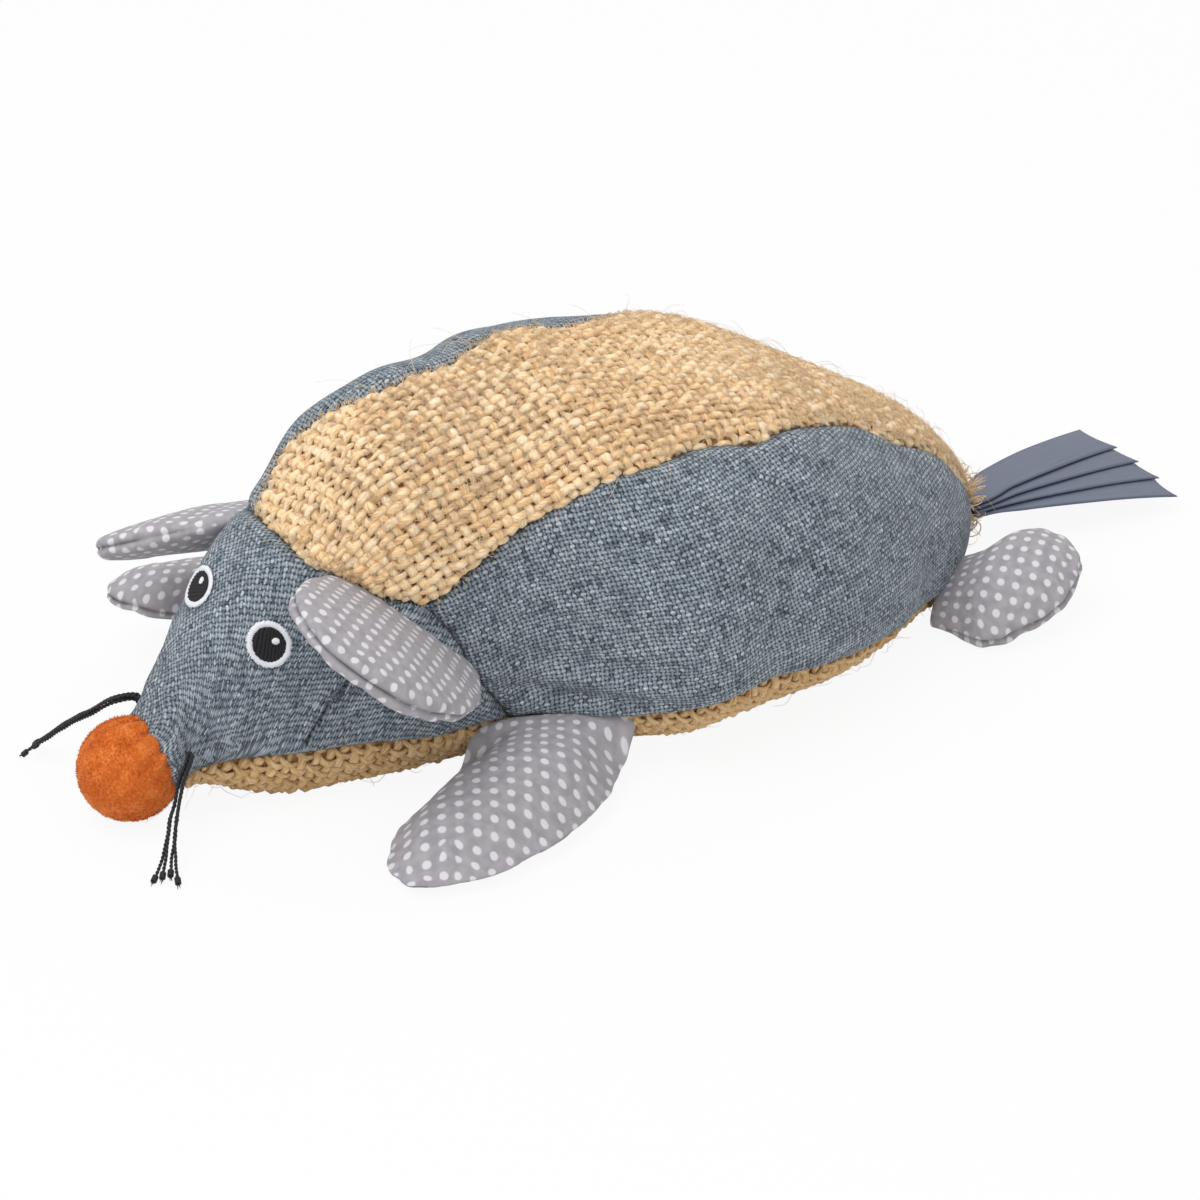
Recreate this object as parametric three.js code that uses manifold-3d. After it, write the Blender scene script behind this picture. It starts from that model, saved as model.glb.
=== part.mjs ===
// Stuffed catnip mouse: a sewn skin of jute and linen-look panels round its stuffing, with a catnip pouch
// inside, padded ears and feet, a plush nose, embroidered eyes, cord whiskers and a ribbon tail.
// Millimetres, +Z up, the nose towards -Y, the mouse's left towards +X, the belly resting on Z = 0.
import * as THREE from 'three';
import { mergeVertices } from 'three/addons/utils/BufferGeometryUtils.js';
import Module from 'manifold-3d';

const wasm = await Module();
wasm.setup();

// Stuffed body and head
const bodyLength = 256;
const muzzleReach = 139;
const bodyWidth = 142;
const bodyHeight = 103;
const chinRise = 12;
const rumpRise = 9;
const bellySink = 3;

// Places along the body are shares of its length from the muzzle; turns are degrees up from the widest line
const widestHeightShare = 0.43;
const chinEndShare = 0.14;
const rumpStartShare = 0.86;
const headEndShares = [0.14, 0.32];
const sideFullness = 0.9;
const bellyFullness = 0.72;
const headFullness = 0.58;

// Share of the length, half width as a share of half the body's width, height as a share of its height
const bodyShares = [
  [0.00, 0.16, 0.29],
  [0.03, 0.18, 0.40],
  [0.06, 0.23, 0.52],
  [0.10, 0.30, 0.64],
  [0.16, 0.38, 0.76],
  [0.22, 0.50, 0.93],
  [0.29, 0.55, 1.00],
  [0.355, 0.59, 1.00],
  [0.42, 0.78, 1.00],
  [0.495, 0.96, 0.95],
  [0.58, 0.94, 0.92],
  [0.67, 0.91, 0.86],
  [0.76, 0.77, 0.73],
  [0.84, 0.59, 0.61],
  [0.91, 0.43, 0.49],
  [0.966, 0.22, 0.32],
  [1.00, 0.06, 0.175],
];

// Seams: share of the length, then turn
const leftBackSeamShares = [
  [0.13, 12], [0.238, 13], [0.297, 22], [0.377, 34.5], [0.45, 47], [0.515, 54], [0.56, 54], [0.603, 52],
  [0.64, 54.8], [0.705, 59], [0.785, 63.5], [0.83, 58], [0.90, 55.5], [0.94, 51], [1, 48],
];
const rightBackSeamShares = [
  [0.13, 78], [0.18, 67], [0.21, 77], [0.245, 84.5], [0.29, 88.5], [0.34, 87.5], [0.39, 83], [0.47, 77],
  [0.52, 79], [0.57, 75.5], [0.64, 67], [0.72, 66], [0.80, 66], [0.90, 62], [1, 52],
];
const bellySeamShares = [
  [0, 5], [0.058, 13], [0.112, 17], [0.168, 21], [0.23, 26], [0.30, 28],
  [0.40, 31], [0.48, 24], [0.56, 19], [0.7, 21], [0.8, 26], [0.9, 30], [1, 34],
];
// The neck seam: turn, then share of the length
const neckSeamShares = [
  [-60, 0.345], [-30, 0.331], [-15, 0.307], [12, 0.238], [18, 0.196], [38, 0.164], [54, 0.144],
  [81, 0.136], [90, 0.136],
];

// Cloths, and the clearance that keeps pieces apart
const clearance = 0.3;
const linenThickness = 1.2;
const juteThickness = 1.8;
const cottonThickness = 0.8;
const muslinThickness = 0.6;
const plushThickness = 1.6;

// Catnip pouch, in a pocket that opens at the underside of the stuffing
const pouchLength = 60;
const pouchWidth = 40;
const pouchThickness = 20;
const pouchSetback = 8;

// Nose
const noseDiameter = 28.4;
const noseForward = 8;
const noseHeight = 14.4;
const noseGatherDiameter = 9;
const noseTilt = 32;

// Eyes: width, height and thread sizes, then for each side the place on the head
const eyeWidth = 12.6;
const eyeHeight = 13.6;
const eyeRingWidth = 1.9;
const eyeThreadHeight = 0.6;
const highlightDiameter = 2.4;
const highlightForward = 2.2;
const highlightUp = 1;
const leftEye = { alongShare: 0.094, turn: 28 };
const rightEye = { alongShare: 0.0705, turn: 76 };

// Ears
const ear = {
  reach: 45,
  width: 62,
  thickness: 14,
  sweep: 17,
  cloth: cottonThickness,
  rootWidthShare: 0.8,
  rootThicknessShare: 0.4,
  broadestShare: 0.5,
};
const earRootSink = 7;
const leftEar = { alongShare: 0.215, turn: 6, heading: 25, lift: 1, roll: 41 };
const rightEar = { alongShare: 0.20, turn: 11, heading: 36, lift: -23, roll: 22 };

// Feet
const frontFoot = {
  reach: 56,
  width: 54,
  thickness: 20,
  sweep: 38,
  cloth: cottonThickness,
  rootWidthShare: 0.78,
  rootThicknessShare: 0.3,
  broadestShare: 0.6,
};
const rearFoot = {
  reach: 36,
  width: 46,
  thickness: 22,
  sweep: -15,
  cloth: cottonThickness,
  rootWidthShare: 0.75,
  rootThicknessShare: 0.3,
  broadestShare: 0.6,
};
const footRootSink = 1;
const footRestGap = 0.4;
const leftFrontFoot = { alongShare: 0.38, heading: 24, lift: -10, roll: 0 };
const rightFrontFoot = { alongShare: 0.31, heading: 14, lift: -6, roll: 14 };
const rearFootPlace = { alongShare: 0.885, heading: -36, lift: 1, roll: -20 };

// How far the limbs swing at their seams, in degrees down and up
const earSwing = [-8, 30];
const footSwing = [-8, 16];

// Whiskers: strands in a bundle at each cheek, with a knot at each end
const whiskerDiameter = 0.95;
const whiskerPitch = 1.3;
const whiskerSpread = 2.6;
const whiskerKnotDiameter = 2;
const whiskerStepDiameters = 2.9;
const whiskerSides = 8;
const knotColumns = 8;
const knotRows = 6;
// Each strand's column and layer in its bundle
const whiskerStrands = [[-0.5, -0.5], [0.5, -0.5], [-0.5, 0.5], [0.5, 0.5]];
const leftWhiskerRoute = [
  [12.75, -136.1, 22.2], [14.6, -136.9, 21.7], [16.2, -140.6, 15.6], [21.2, -145.6, 8.6], [27.8, -150.4, 3.8],
  [33.6, -154.2, 1.4],
];
const rightWhiskerRoute = [
  [-10.8, -137.9, 26.2], [-12.4, -139, 27], [-14.6, -143.2, 26.2], [-19.6, -147, 21.6], [-27.8, -150.6, 14.6],
  [-36, -154.4, 6.6], [-41, -157, 1.4],
];

// Tail: ribbons fanned from one root, the topmost first
const ribbonLength = 65;
const ribbonWidth = 14;
const ribbonRootWidth = 8.6;
const ribbonThickness = 0.5;
const ribbonDroop = 7;
const ribbonFullWidthShare = 0.6;
const ribbonFanShare = 0.25;
const ribbonHeadings = [15, 8, 0, -8];
const tailHeight = 13;

// How finely the pieces are divided
const bodyRows = 16;
const headRows = 6;
const backColumns = 8;
const flankColumns = 6;
const bellyColumns = 8;
const limbRows = 6;
const limbColumns = 8;
const roundColumns = 16;
const noseRows = 8;
const ribbonRows = 8;
const ribbonColumns = 3;
const eyeRows = 2;
const cornerPasses = 40;
const spotPasses = 30;
const mergeDistance = 0.0001;

// Steps along and round the skin that give its slope
const probeShare = 0.002;
const probeTurn = 0.5;

// Padded pieces: how square their ends are, where they reach their thickness, and the least share of the full
// half width that is left inside an upper cloth, its inner face and the stuffing
const endRoundness = 3.4;
const swellShare = 0.45;
const thinnestShares = [1, 0.6, 0.35];

const jute = new THREE.MeshStandardMaterial({ color: 0xd9ae74, roughness: 0.95, metalness: 0 });
const linen = new THREE.MeshStandardMaterial({ color: 0x7c8894, roughness: 0.9, metalness: 0 });
const dottedCotton = new THREE.MeshStandardMaterial({ color: 0x9a9498, roughness: 0.85, metalness: 0 });
const plush = new THREE.MeshStandardMaterial({ color: 0xd9691f, roughness: 0.95, metalness: 0 });
const wadding = new THREE.MeshStandardMaterial({ color: 0xf0eee8, roughness: 1, metalness: 0 });
const muslin = new THREE.MeshStandardMaterial({ color: 0xe8dcc4, roughness: 0.95, metalness: 0 });
const driedLeaf = new THREE.MeshStandardMaterial({ color: 0x6f7a45, roughness: 1, metalness: 0 });
const blackThread = new THREE.MeshStandardMaterial({ color: 0x17171a, roughness: 0.6, metalness: 0 });
const whiteThread = new THREE.MeshStandardMaterial({ color: 0xf1f1f6, roughness: 0.6, metalness: 0 });
const ribbonCloth = new THREE.MeshStandardMaterial({ color: 0x7a8496, roughness: 0.6, metalness: 0 });

const radians = THREE.MathUtils.degToRad;
const degrees = THREE.MathUtils.radToDeg;
const lerp = THREE.MathUtils.lerp;
const smoothstep = THREE.MathUtils.smoothstep;

const mouse = new THREE.Group();

// Adds a named piece to the mouse, or to a group of it
function place(name, geometry, material, group = mouse) {
  const mesh = new THREE.Mesh(geometry, material);
  mesh.name = name;
  group.add(mesh);
  return mesh;
}

// Smooth value of a table's column at a place between its rows
function read(table, column, at) {
  const last = table.length - 1;
  let row = 0;
  while (row < last - 1 && table[row + 1][0] < at) row += 1;
  const slope = (k) => {
    const before = table[Math.max(k - 1, 0)];
    const after = table[Math.min(k + 1, last)];
    return (after[column] - before[column]) / (after[0] - before[0]);
  };
  const step = table[row + 1][0] - table[row][0];
  const t = THREE.MathUtils.clamp((at - table[row][0]) / step, 0, 1);
  const start = table[row][column] * (2 * t ** 3 - 3 * t ** 2 + 1)
    + slope(row) * step * (t ** 3 - 2 * t ** 2 + t);
  const end = table[row + 1][column] * (3 * t ** 2 - 2 * t ** 3) + slope(row + 1) * step * (t ** 3 - t ** 2);
  return start + end;
}

// The same shape with its shared points merged, its empty triangles dropped and its faces pointing out
function closed(geometry) {
  const bare = new THREE.BufferGeometry();
  bare.setAttribute('position', geometry.attributes.position.clone());
  if (geometry.index) bare.setIndex(geometry.index.clone());
  const merged = mergeVertices(bare, mergeDistance);
  const index = Array.from(merged.index.array);
  const kept = [];
  for (let k = 0; k < index.length; k += 3) {
    const [a, b, c] = index.slice(k, k + 3);
    if (a !== b && b !== c && c !== a) kept.push(a, b, c);
  }
  const at = (k) => new THREE.Vector3().fromBufferAttribute(merged.attributes.position, k);
  let volume = 0;
  for (let k = 0; k < kept.length; k += 3) {
    volume += at(kept[k]).dot(at(kept[k + 1]).cross(at(kept[k + 2])));
  }
  if (volume < 0) kept.reverse();
  merged.setIndex(kept);
  merged.computeVertexNormals();
  return merged;
}

function solid(points, triangles) {
  const geometry = new THREE.BufferGeometry();
  const places = points.flatMap((p) => [p.x, p.y, p.z]);
  geometry.setAttribute('position', new THREE.Float32BufferAttribute(places, 3));
  geometry.setIndex(triangles);
  return closed(geometry);
}

// A sheet with thickness: outer and inner faces as grids, joined round the rim; a ring's columns meet again
function sheet(rows, columns, outerAt, innerAt, ring = false) {
  const points = [];
  const triangles = [];
  const stride = columns + 1;
  const layer = (rows + 1) * stride;
  for (const pointAt of [outerAt, innerAt]) {
    for (let i = 0; i <= rows; i += 1) {
      for (let j = 0; j <= columns; j += 1) {
        const v = (ring ? j % columns : j) / columns;
        points.push(pointAt(i / rows, v, i, j));
      }
    }
  }
  const quad = (a, b, c, d) => triangles.push(a, b, c, a, c, d);
  for (let i = 0; i < rows; i += 1) {
    for (let j = 0; j < columns; j += 1) {
      const k = i * stride + j;
      quad(k, k + 1, k + stride + 1, k + stride);
      quad(layer + k, layer + k + stride, layer + k + stride + 1, layer + k + 1);
    }
  }
  for (let i = 0; i < rows && !ring; i += 1) {
    const near = i * stride;
    const far = near + columns;
    quad(near, near + stride, layer + near + stride, layer + near);
    quad(far + stride, far, layer + far, layer + far + stride);
  }
  for (let j = 0; j < columns; j += 1) {
    const far = rows * stride + j;
    quad(j + 1, j, layer + j, layer + j + 1);
    quad(far, far + 1, layer + far + 1, layer + far);
  }
  return solid(points, triangles);
}

// A closed solid through rings of points, with a cap at each end
function loft(rings) {
  const count = rings[0].length;
  const points = rings.flat();
  const triangles = [];
  for (let i = 0; i < rings.length - 1; i += 1) {
    for (let j = 0; j < count; j += 1) {
      const a = i * count + j;
      const b = i * count + ((j + 1) % count);
      triangles.push(a, b, b + count, a, b + count, a + count);
    }
  }
  for (const end of [0, rings.length - 1]) {
    const middle = new THREE.Vector3();
    rings[end].forEach((p) => middle.add(p));
    points.push(middle.divideScalar(count));
    const tip = points.length - 1;
    for (let j = 0; j < count; j += 1) {
      const a = end * count + j;
      const b = end * count + ((j + 1) % count);
      if (end === 0) triangles.push(tip, b, a);
      else triangles.push(tip, a, b);
    }
  }
  return solid(points, triangles);
}

function toManifold(geometry) {
  return new wasm.Manifold(new wasm.Mesh({
    numProp: 3,
    vertProperties: new Float32Array(geometry.attributes.position.array),
    triVerts: new Uint32Array(geometry.index.array),
  }));
}

// The largest body of a cut shape, as a geometry
function fromManifold(shape) {
  const bodies = shape.decompose();
  bodies.sort((a, b) => b.volume() - a.volume());
  const mesh = bodies[0].getMesh();
  const geometry = new THREE.BufferGeometry();
  geometry.setAttribute('position', new THREE.BufferAttribute(mesh.vertProperties.slice(), 3));
  geometry.setIndex(new THREE.BufferAttribute(mesh.triVerts.slice(), 1));
  geometry.computeVertexNormals();
  return geometry;
}

function cut(geometry, cutters) {
  let shape = toManifold(geometry);
  for (const cutter of cutters) shape = shape.subtract(toManifold(cutter));
  return fromManifold(shape);
}

// Point of the stuffed skin, before it is pressed flat on the floor: turn 0 is the left flank, 90 the back
function roundSkin(along, turn) {
  const halfWidth = read(bodyShares, 1, along) * bodyWidth / 2;
  const top = read(bodyShares, 2, along) * bodyHeight;
  const atChin = 1 - smoothstep(along, 0, chinEndShare);
  const rise = chinRise * atChin + rumpRise * smoothstep(along, rumpStartShare, 1);
  const fullness = lerp(headFullness, 1, smoothstep(along, ...headEndShares));
  const widest = Math.max(widestHeightShare * top, rise);
  const across = Math.cos(radians(turn));
  const up = Math.sin(radians(turn));
  const drop = widest - rise + bellySink;
  const side = up >= 0 ? Math.min(sideFullness, fullness) : sideFullness;
  return new THREE.Vector3(
    Math.sign(across) * Math.abs(across) ** side * halfWidth,
    along * bodyLength - muzzleReach,
    up >= 0 ? widest + (top - widest) * up ** fullness : widest - drop * Math.abs(up) ** bellyFullness,
  );
}

const skinPace = (along, turn) => roundSkin(along, turn + probeTurn).sub(roundSkin(along, turn - probeTurn));
const skinAdvance = (along, turn) => roundSkin(Math.min(along + probeShare, 1), turn)
  .sub(roundSkin(Math.max(along - probeShare, 0), turn));
const skinNormal = (along, turn) => skinAdvance(along, turn).cross(skinPace(along, turn)).normalize();

// Point of the skin, set in by a depth and pressed flat on the floor
function skin(along, turn, depth) {
  const point = roundSkin(along, turn).addScaledVector(skinNormal(along, turn), -depth);
  point.z = Math.max(point.z, depth);
  return point;
}

// Turn that a distance round the skin takes, and the share that the same distance along it takes
const turnOf = (along, turn, distance) => distance * 2 * probeTurn / skinPace(along, turn).length();
const shareOf = (distance) => distance / bodyLength;

const neckAlong = (turn) => read(neckSeamShares, 1, Math.min(turn, 180 - turn));

// A seam from the neck seam to the rump: its turn along the body, and where it leaves the neck seam
function seam(turnAt) {
  let corner = neckAlong(90);
  for (let pass = 0; pass < cornerPasses; pass += 1) corner = (corner + neckAlong(turnAt(corner))) / 2;
  return { turnAt, corner };
}

const leftBelly = seam((along) => -read(bellySeamShares, 1, along));
const leftBack = seam((along) => read(leftBackSeamShares, 1, along));
const rightBack = seam((along) => 180 - read(rightBackSeamShares, 1, along));
const rightBelly = seam((along) => 180 + read(bellySeamShares, 1, along));

// Place on the skin of a panel that runs from the neck seam to the rump, between two seams, gap wide at each
function bodyPlace(low, high, u, v, gap) {
  const turn = lerp(low.turnAt(lerp(low.corner, 1, u)), high.turnAt(lerp(high.corner, 1, u)), v);
  const neckTurn = lerp(low.turnAt(low.corner), high.turnAt(high.corner), v);
  const along = lerp(neckAlong(neckTurn) + shareOf(gap), 1, u);
  return [along, turn + (1 - 2 * v) * turnOf(along, turn, gap)];
}

// The seams on both sides of each panel behind the neck seam, and the panel's columns
const panelSeams = [
  [leftBelly, leftBack, flankColumns],
  [leftBack, rightBack, backColumns],
  [rightBack, rightBelly, flankColumns],
];

// Turns of the head's columns where they meet the neck seam, from the left belly seam over to the right one
const neckTurns = [];
for (const [low, high, columns] of panelSeams) {
  for (let j = 0; j < columns; j += 1) {
    neckTurns.push(lerp(low.turnAt(low.corner), high.turnAt(high.corner), j / columns));
  }
}
neckTurns.push(rightBelly.turnAt(rightBelly.corner));
const headColumns = neckTurns.length - 1;

function headPlace(u, j, gap) {
  const low = leftBelly.turnAt(lerp(0, leftBelly.corner, u));
  const share = (neckTurns[j] - neckTurns[0]) / (neckTurns[headColumns] - neckTurns[0]);
  const along = lerp(0, neckAlong(neckTurns[j]) - shareOf(gap), u);
  const turn = lerp(low, 180 - low, share);
  return [along, turn + (1 - 2 * share) * turnOf(along, turn, gap)];
}

// The belly's rows meet the head's rows, then the flanks'
function bellyPlace(i, v, gap) {
  const { corner } = leftBelly;
  const along = i <= headRows ? lerp(0, corner, i / headRows) : lerp(corner, 1, (i - headRows) / bodyRows);
  const low = leftBelly.turnAt(along);
  const turn = lerp(180 - low, 360 + low, v);
  return [along, turn + (1 - 2 * v) * turnOf(along, turn, gap)];
}

// Closed form through all the panels' places, at a depth under the skin, or over it for a negative depth
function bodyForm(depth) {
  const rings = [];
  for (let i = 0; i <= headRows + bodyRows; i += 1) {
    const ring = [];
    if (i <= headRows) {
      for (let j = 0; j <= headColumns; j += 1) ring.push(headPlace(i / headRows, j, 0));
    } else {
      const u = (i - headRows) / bodyRows;
      for (const [low, high, columns] of panelSeams) {
        for (let j = 0; j < columns; j += 1) ring.push(bodyPlace(low, high, u, j / columns, 0));
      }
      ring.push(bodyPlace(rightBack, rightBelly, u, 1, 0));
    }
    for (let j = 1; j < bellyColumns; j += 1) ring.push(bellyPlace(i, j / bellyColumns, 0));
    rings.push(ring.map(([along, turn]) => skin(along, turn, depth)));
  }
  return loft(rings);
}

// Nose: a gathered plush cover round its own stuffing
const nose = new THREE.Group();
nose.position.set(0, -muzzleReach - noseForward, noseHeight);
nose.rotation.x = radians(noseTilt - 180);
mouse.add(nose);
nose.updateMatrixWorld(true);

function ball(radius) {
  const profile = [];
  for (let k = 0; k <= noseRows; k += 1) {
    const angle = Math.PI * k / noseRows;
    profile.push(new THREE.Vector2(radius * Math.sin(angle), radius * Math.cos(angle)));
  }
  return closed(new THREE.LatheGeometry(profile, roundColumns));
}

function noseCover() {
  const outside = noseDiameter / 2;
  const inside = outside - plushThickness;
  const gatherTurn = Math.PI - Math.asin(noseGatherDiameter / noseDiameter);
  const profile = [];
  for (const [radius, step] of [[outside, 1], [inside, -1]]) {
    for (let k = 0; k <= noseRows; k += 1) {
      const angle = gatherTurn * (step > 0 ? k : noseRows - k) / noseRows;
      profile.push(new THREE.Vector2(radius * Math.sin(angle), radius * Math.cos(angle)));
    }
  }
  return closed(new THREE.LatheGeometry(profile, roundColumns));
}

place('nose_cover', noseCover(), plush, nose);
place('nose_stuffing', ball(noseDiameter / 2 - plushThickness - clearance), wadding, nose);
const noseRoom = ball(noseDiameter / 2 + clearance).applyMatrix4(nose.matrixWorld);

// Skin panels
function panel(name, rows, columns, placeAt, thickness, material, cutters = []) {
  const outerAt = (u, v, i, j) => skin(...placeAt(u, v, i, j), 0);
  const innerAt = (u, v, i, j) => skin(...placeAt(u, v, i, j), thickness);
  const form = sheet(rows, columns, outerAt, innerAt);
  return place(name, cutters.length ? cut(form, cutters) : form, material);
}

const between = (low, high) => (u, v) => bodyPlace(low, high, u, v, clearance);
const onHead = (u, v, i, j) => headPlace(u, j, clearance);
const onBelly = (u, v, i) => bellyPlace(i, v, clearance);
panel('back_panel', bodyRows, backColumns, between(leftBack, rightBack), juteThickness, jute);
panel('side_panel_left', bodyRows, flankColumns, between(leftBelly, leftBack), linenThickness, linen);
panel('side_panel_right', bodyRows, flankColumns, between(rightBack, rightBelly), linenThickness, linen);
panel('head_panel', headRows, headColumns, onHead, linenThickness, linen, [noseRoom]);
panel('belly_panel', headRows + bodyRows, bellyColumns, onBelly, juteThickness, jute, [noseRoom]);

// Padded pieces: two cloths sewn at their edge round a stuffing. A size gives the shares of the half width and
// half thickness at a share of the reach, and each cloth or stuffing lies deeper by its inset.
function limbShares(size, s) {
  const end = Math.sqrt(1 - s ** endRoundness);
  return [
    end * lerp(size.rootWidthShare, 1, smoothstep(s, 0, size.broadestShare)),
    end * lerp(size.rootThicknessShare, 1, smoothstep(s, 0, swellShare)),
  ];
}

function pouchShares(size, s) {
  const end = Math.sqrt(1 - Math.abs(2 * s - 1) ** endRoundness);
  return [end, end];
}

// Point of a padded piece in its own axes: X along its root, Y along its reach, Z out of its upper face
function padPoint(size, shares, s, angle, level, inset) {
  const [wide, thick] = shares(size, s);
  const within = (full) => Math.max(full - inset, full * thinnestShares[level]);
  const start = shares === pouchShares ? inset : 0;
  const reach = lerp(start, size.reach - inset, s);
  return new THREE.Vector3(
    size.sweep * s + within(wide * size.width / 2) * Math.cos(angle),
    reach,
    within(thick * size.thickness / 2) * Math.sin(angle),
  );
}

const rowShare = (shares, row) => (shares === pouchShares
  ? (1 - Math.cos(Math.PI * row / limbRows)) / 2
  : Math.sin(Math.PI / 2 * row / limbRows));

function padCloth(size, shares, upper, settle) {
  const pointAt = (level, inset) => (u, v, i) => {
    const point = padPoint(size, shares, rowShare(shares, i), Math.PI * v, level, inset);
    point.z = upper * (point.z + clearance / 2);
    return settle(point, inset);
  };
  return sheet(limbRows, limbColumns, pointAt(0, 0), pointAt(1, size.cloth));
}

function padStuffing(size, shares, settle) {
  const inset = size.cloth + 2 * clearance;
  const rings = [];
  for (let i = 0; i <= limbRows; i += 1) {
    const ring = [];
    for (let j = 0; j < 2 * limbColumns; j += 1) {
      const point = padPoint(size, shares, rowShare(shares, i), Math.PI * j / limbColumns, 2, inset);
      ring.push(settle(point, inset + clearance));
    }
    rings.push(ring);
  }
  return loft(rings);
}

// Catnip pouch, and the pocket for it in the body's stuffing
const pouch = {
  reach: pouchLength,
  width: pouchWidth,
  thickness: pouchThickness,
  sweep: 0,
  cloth: muslinThickness,
};
const pouchGroup = new THREE.Group();
const pouchHeight = juteThickness + 2 * clearance + pouchThickness / 2;
pouchGroup.position.set(0, pouchSetback - pouchLength / 2, pouchHeight);
mouse.add(pouchGroup);
pouchGroup.updateMatrixWorld(true);
const asMade = (point) => point;
place('catnip_pouch_top', padCloth(pouch, pouchShares, 1, asMade), muslin, pouchGroup);
place('catnip_pouch_bottom', padCloth(pouch, pouchShares, -1, asMade), muslin, pouchGroup);
place('catnip_fill', padStuffing(pouch, pouchShares, asMade), driedLeaf, pouchGroup);

function pouchPocket() {
  const room = 2 * clearance;
  const size = { ...pouch, width: pouch.width + 2 * room, thickness: pouch.thickness + 2 * room };
  const rings = [];
  for (let i = 0; i <= limbRows; i += 1) {
    const s = rowShare(pouchShares, i);
    const ring = [];
    for (let j = 0; j <= limbColumns; j += 1) {
      const point = padPoint(size, pouchShares, s, Math.PI * j / limbColumns, 0, 0);
      point.y = lerp(-room, pouch.reach + room, s);
      point.z += clearance;
      ring.push(point);
    }
    for (const end of [limbColumns, 0]) ring.push(ring[end].clone().setZ(-pouch.thickness));
    rings.push(ring);
  }
  return loft(rings).applyMatrix4(pouchGroup.matrixWorld);
}

const bodyStuffing = cut(bodyForm(juteThickness + clearance), [noseRoom, pouchPocket()]);
place('body_stuffing', bodyStuffing, wadding);

// Place on the skin that lies a distance forward and up from a spot, measured on the plane that touches there
function nearSpot(spot, forward, up) {
  const centre = roundSkin(spot.alongShare, spot.turn);
  const upward = skinPace(spot.alongShare, spot.turn).normalize();
  const onward = skinNormal(spot.alongShare, spot.turn).cross(upward);
  let along = spot.alongShare;
  let { turn } = spot;
  for (let pass = 0; pass < spotPasses; pass += 1) {
    const reach = roundSkin(along, turn).sub(centre);
    const advanceLength = skinAdvance(along, turn).length() / (2 * probeShare);
    const turnLength = skinPace(along, turn).length() / (2 * probeTurn);
    along -= (forward - reach.dot(onward)) / advanceLength / 2;
    turn += (up - reach.dot(upward)) / turnLength / 2;
  }
  return [along, turn];
}

// Eyes: a ring, a pupil and a highlight of thread, lying on the head
function eyePatch(name, spot, forward, up, sizes, lift, material) {
  const at = (depth) => (u, v) => {
    const angle = 2 * Math.PI * v;
    const [inner, outer] = sizes;
    const wide = lerp(inner[0], outer[0], u) / 2;
    const high = lerp(inner[1], outer[1], u) / 2;
    const [along, turn] = nearSpot(spot, forward + wide * Math.cos(angle), up + high * Math.sin(angle));
    return skin(along, spot.right ? 180 - turn : turn, -depth);
  };
  place(name, sheet(eyeRows, roundColumns, at(lift + eyeThreadHeight), at(lift), true), material);
}

for (const [side, spot] of [['left', leftEye], ['right', { ...rightEye, right: true }]]) {
  const outer = [eyeWidth, eyeHeight];
  const inner = outer.map((size) => size - 2 * eyeRingWidth);
  const pupil = inner.map((size) => size - 2 * clearance);
  const point = [highlightDiameter, highlightDiameter];
  const above = 2 * clearance + eyeThreadHeight;
  eyePatch(`eye_ring_${side}`, spot, 0, 0, [inner, outer], clearance, whiteThread);
  eyePatch(`eye_pupil_${side}`, spot, 0, 0, [[0, 0], pupil], clearance, blackThread);
  const back = -highlightForward;
  eyePatch(`eye_highlight_${side}`, spot, back, highlightUp, [[0, 0], point], above, whiteThread);
}

// Ears and feet: padded pieces sewn into the seams, cut by the body as far as they swing
const bodyRoom = bodyForm(-clearance);

function limb(name, size, spot, side, root, sink, swing, lowest) {
  const group = new THREE.Group();
  const turn = radians(-side * (90 + spot.heading));
  group.rotation.set(radians(spot.lift), radians(-side * spot.roll), turn, 'ZXY');
  const reach = new THREE.Vector3(0, 1, 0).applyEuler(group.rotation);
  group.position.copy(root).addScaledVector(reach, -sink);
  mouse.add(group);
  group.updateMatrixWorld(true);
  const settle = (point, inset) => {
    const placed = group.localToWorld(point);
    placed.z = Math.max(placed.z, lowest + inset);
    return group.worldToLocal(placed);
  };
  const cutters = [swing[0], 0, swing[1]].map((angle) => bodyRoom.clone()
    .applyMatrix4(group.matrixWorld.clone().invert())
    .applyMatrix4(new THREE.Matrix4().makeTranslation(0, -sink, 0))
    .applyMatrix4(new THREE.Matrix4().makeRotationX(radians(-angle)))
    .applyMatrix4(new THREE.Matrix4().makeTranslation(0, sink, 0)));
  const swept = { ...size, sweep: side * size.sweep };
  place(`${name}_upper`, cut(padCloth(swept, limbShares, 1, settle), cutters), dottedCotton, group);
  place(`${name}_lower`, cut(padCloth(swept, limbShares, -1, settle), cutters), dottedCotton, group);
  place(`${name}_stuffing`, cut(padStuffing(swept, limbShares, settle), cutters), wadding, group);
  return group;
}

for (const [side, spot] of [[1, leftEar], [-1, rightEar]]) {
  const root = skin(spot.alongShare, side > 0 ? spot.turn : 180 - spot.turn, 0);
  limb(side > 0 ? 'ear_left' : 'ear_right', ear, spot, side, root, earRootSink, earSwing, 0);
}
for (const [name, side, size, spot] of [
  ['front_foot_left', 1, frontFoot, leftFrontFoot],
  ['front_foot_right', -1, frontFoot, rightFrontFoot],
  ['rear_foot_left', 1, rearFoot, rearFootPlace],
  ['rear_foot_right', -1, rearFoot, rearFootPlace],
]) {
  const low = leftBelly.turnAt(spot.alongShare);
  const root = skin(spot.alongShare, side > 0 ? low : 180 - low, 0);
  limb(name, size, spot, side, root, footRootSink, footSwing, footRestGap);
}

// Whiskers: tubes of thin cord with a knot at the end of each
const whiskerSection = new THREE.Shape();
whiskerSection.absarc(0, 0, whiskerDiameter / 2, 0, 2 * Math.PI);

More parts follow.
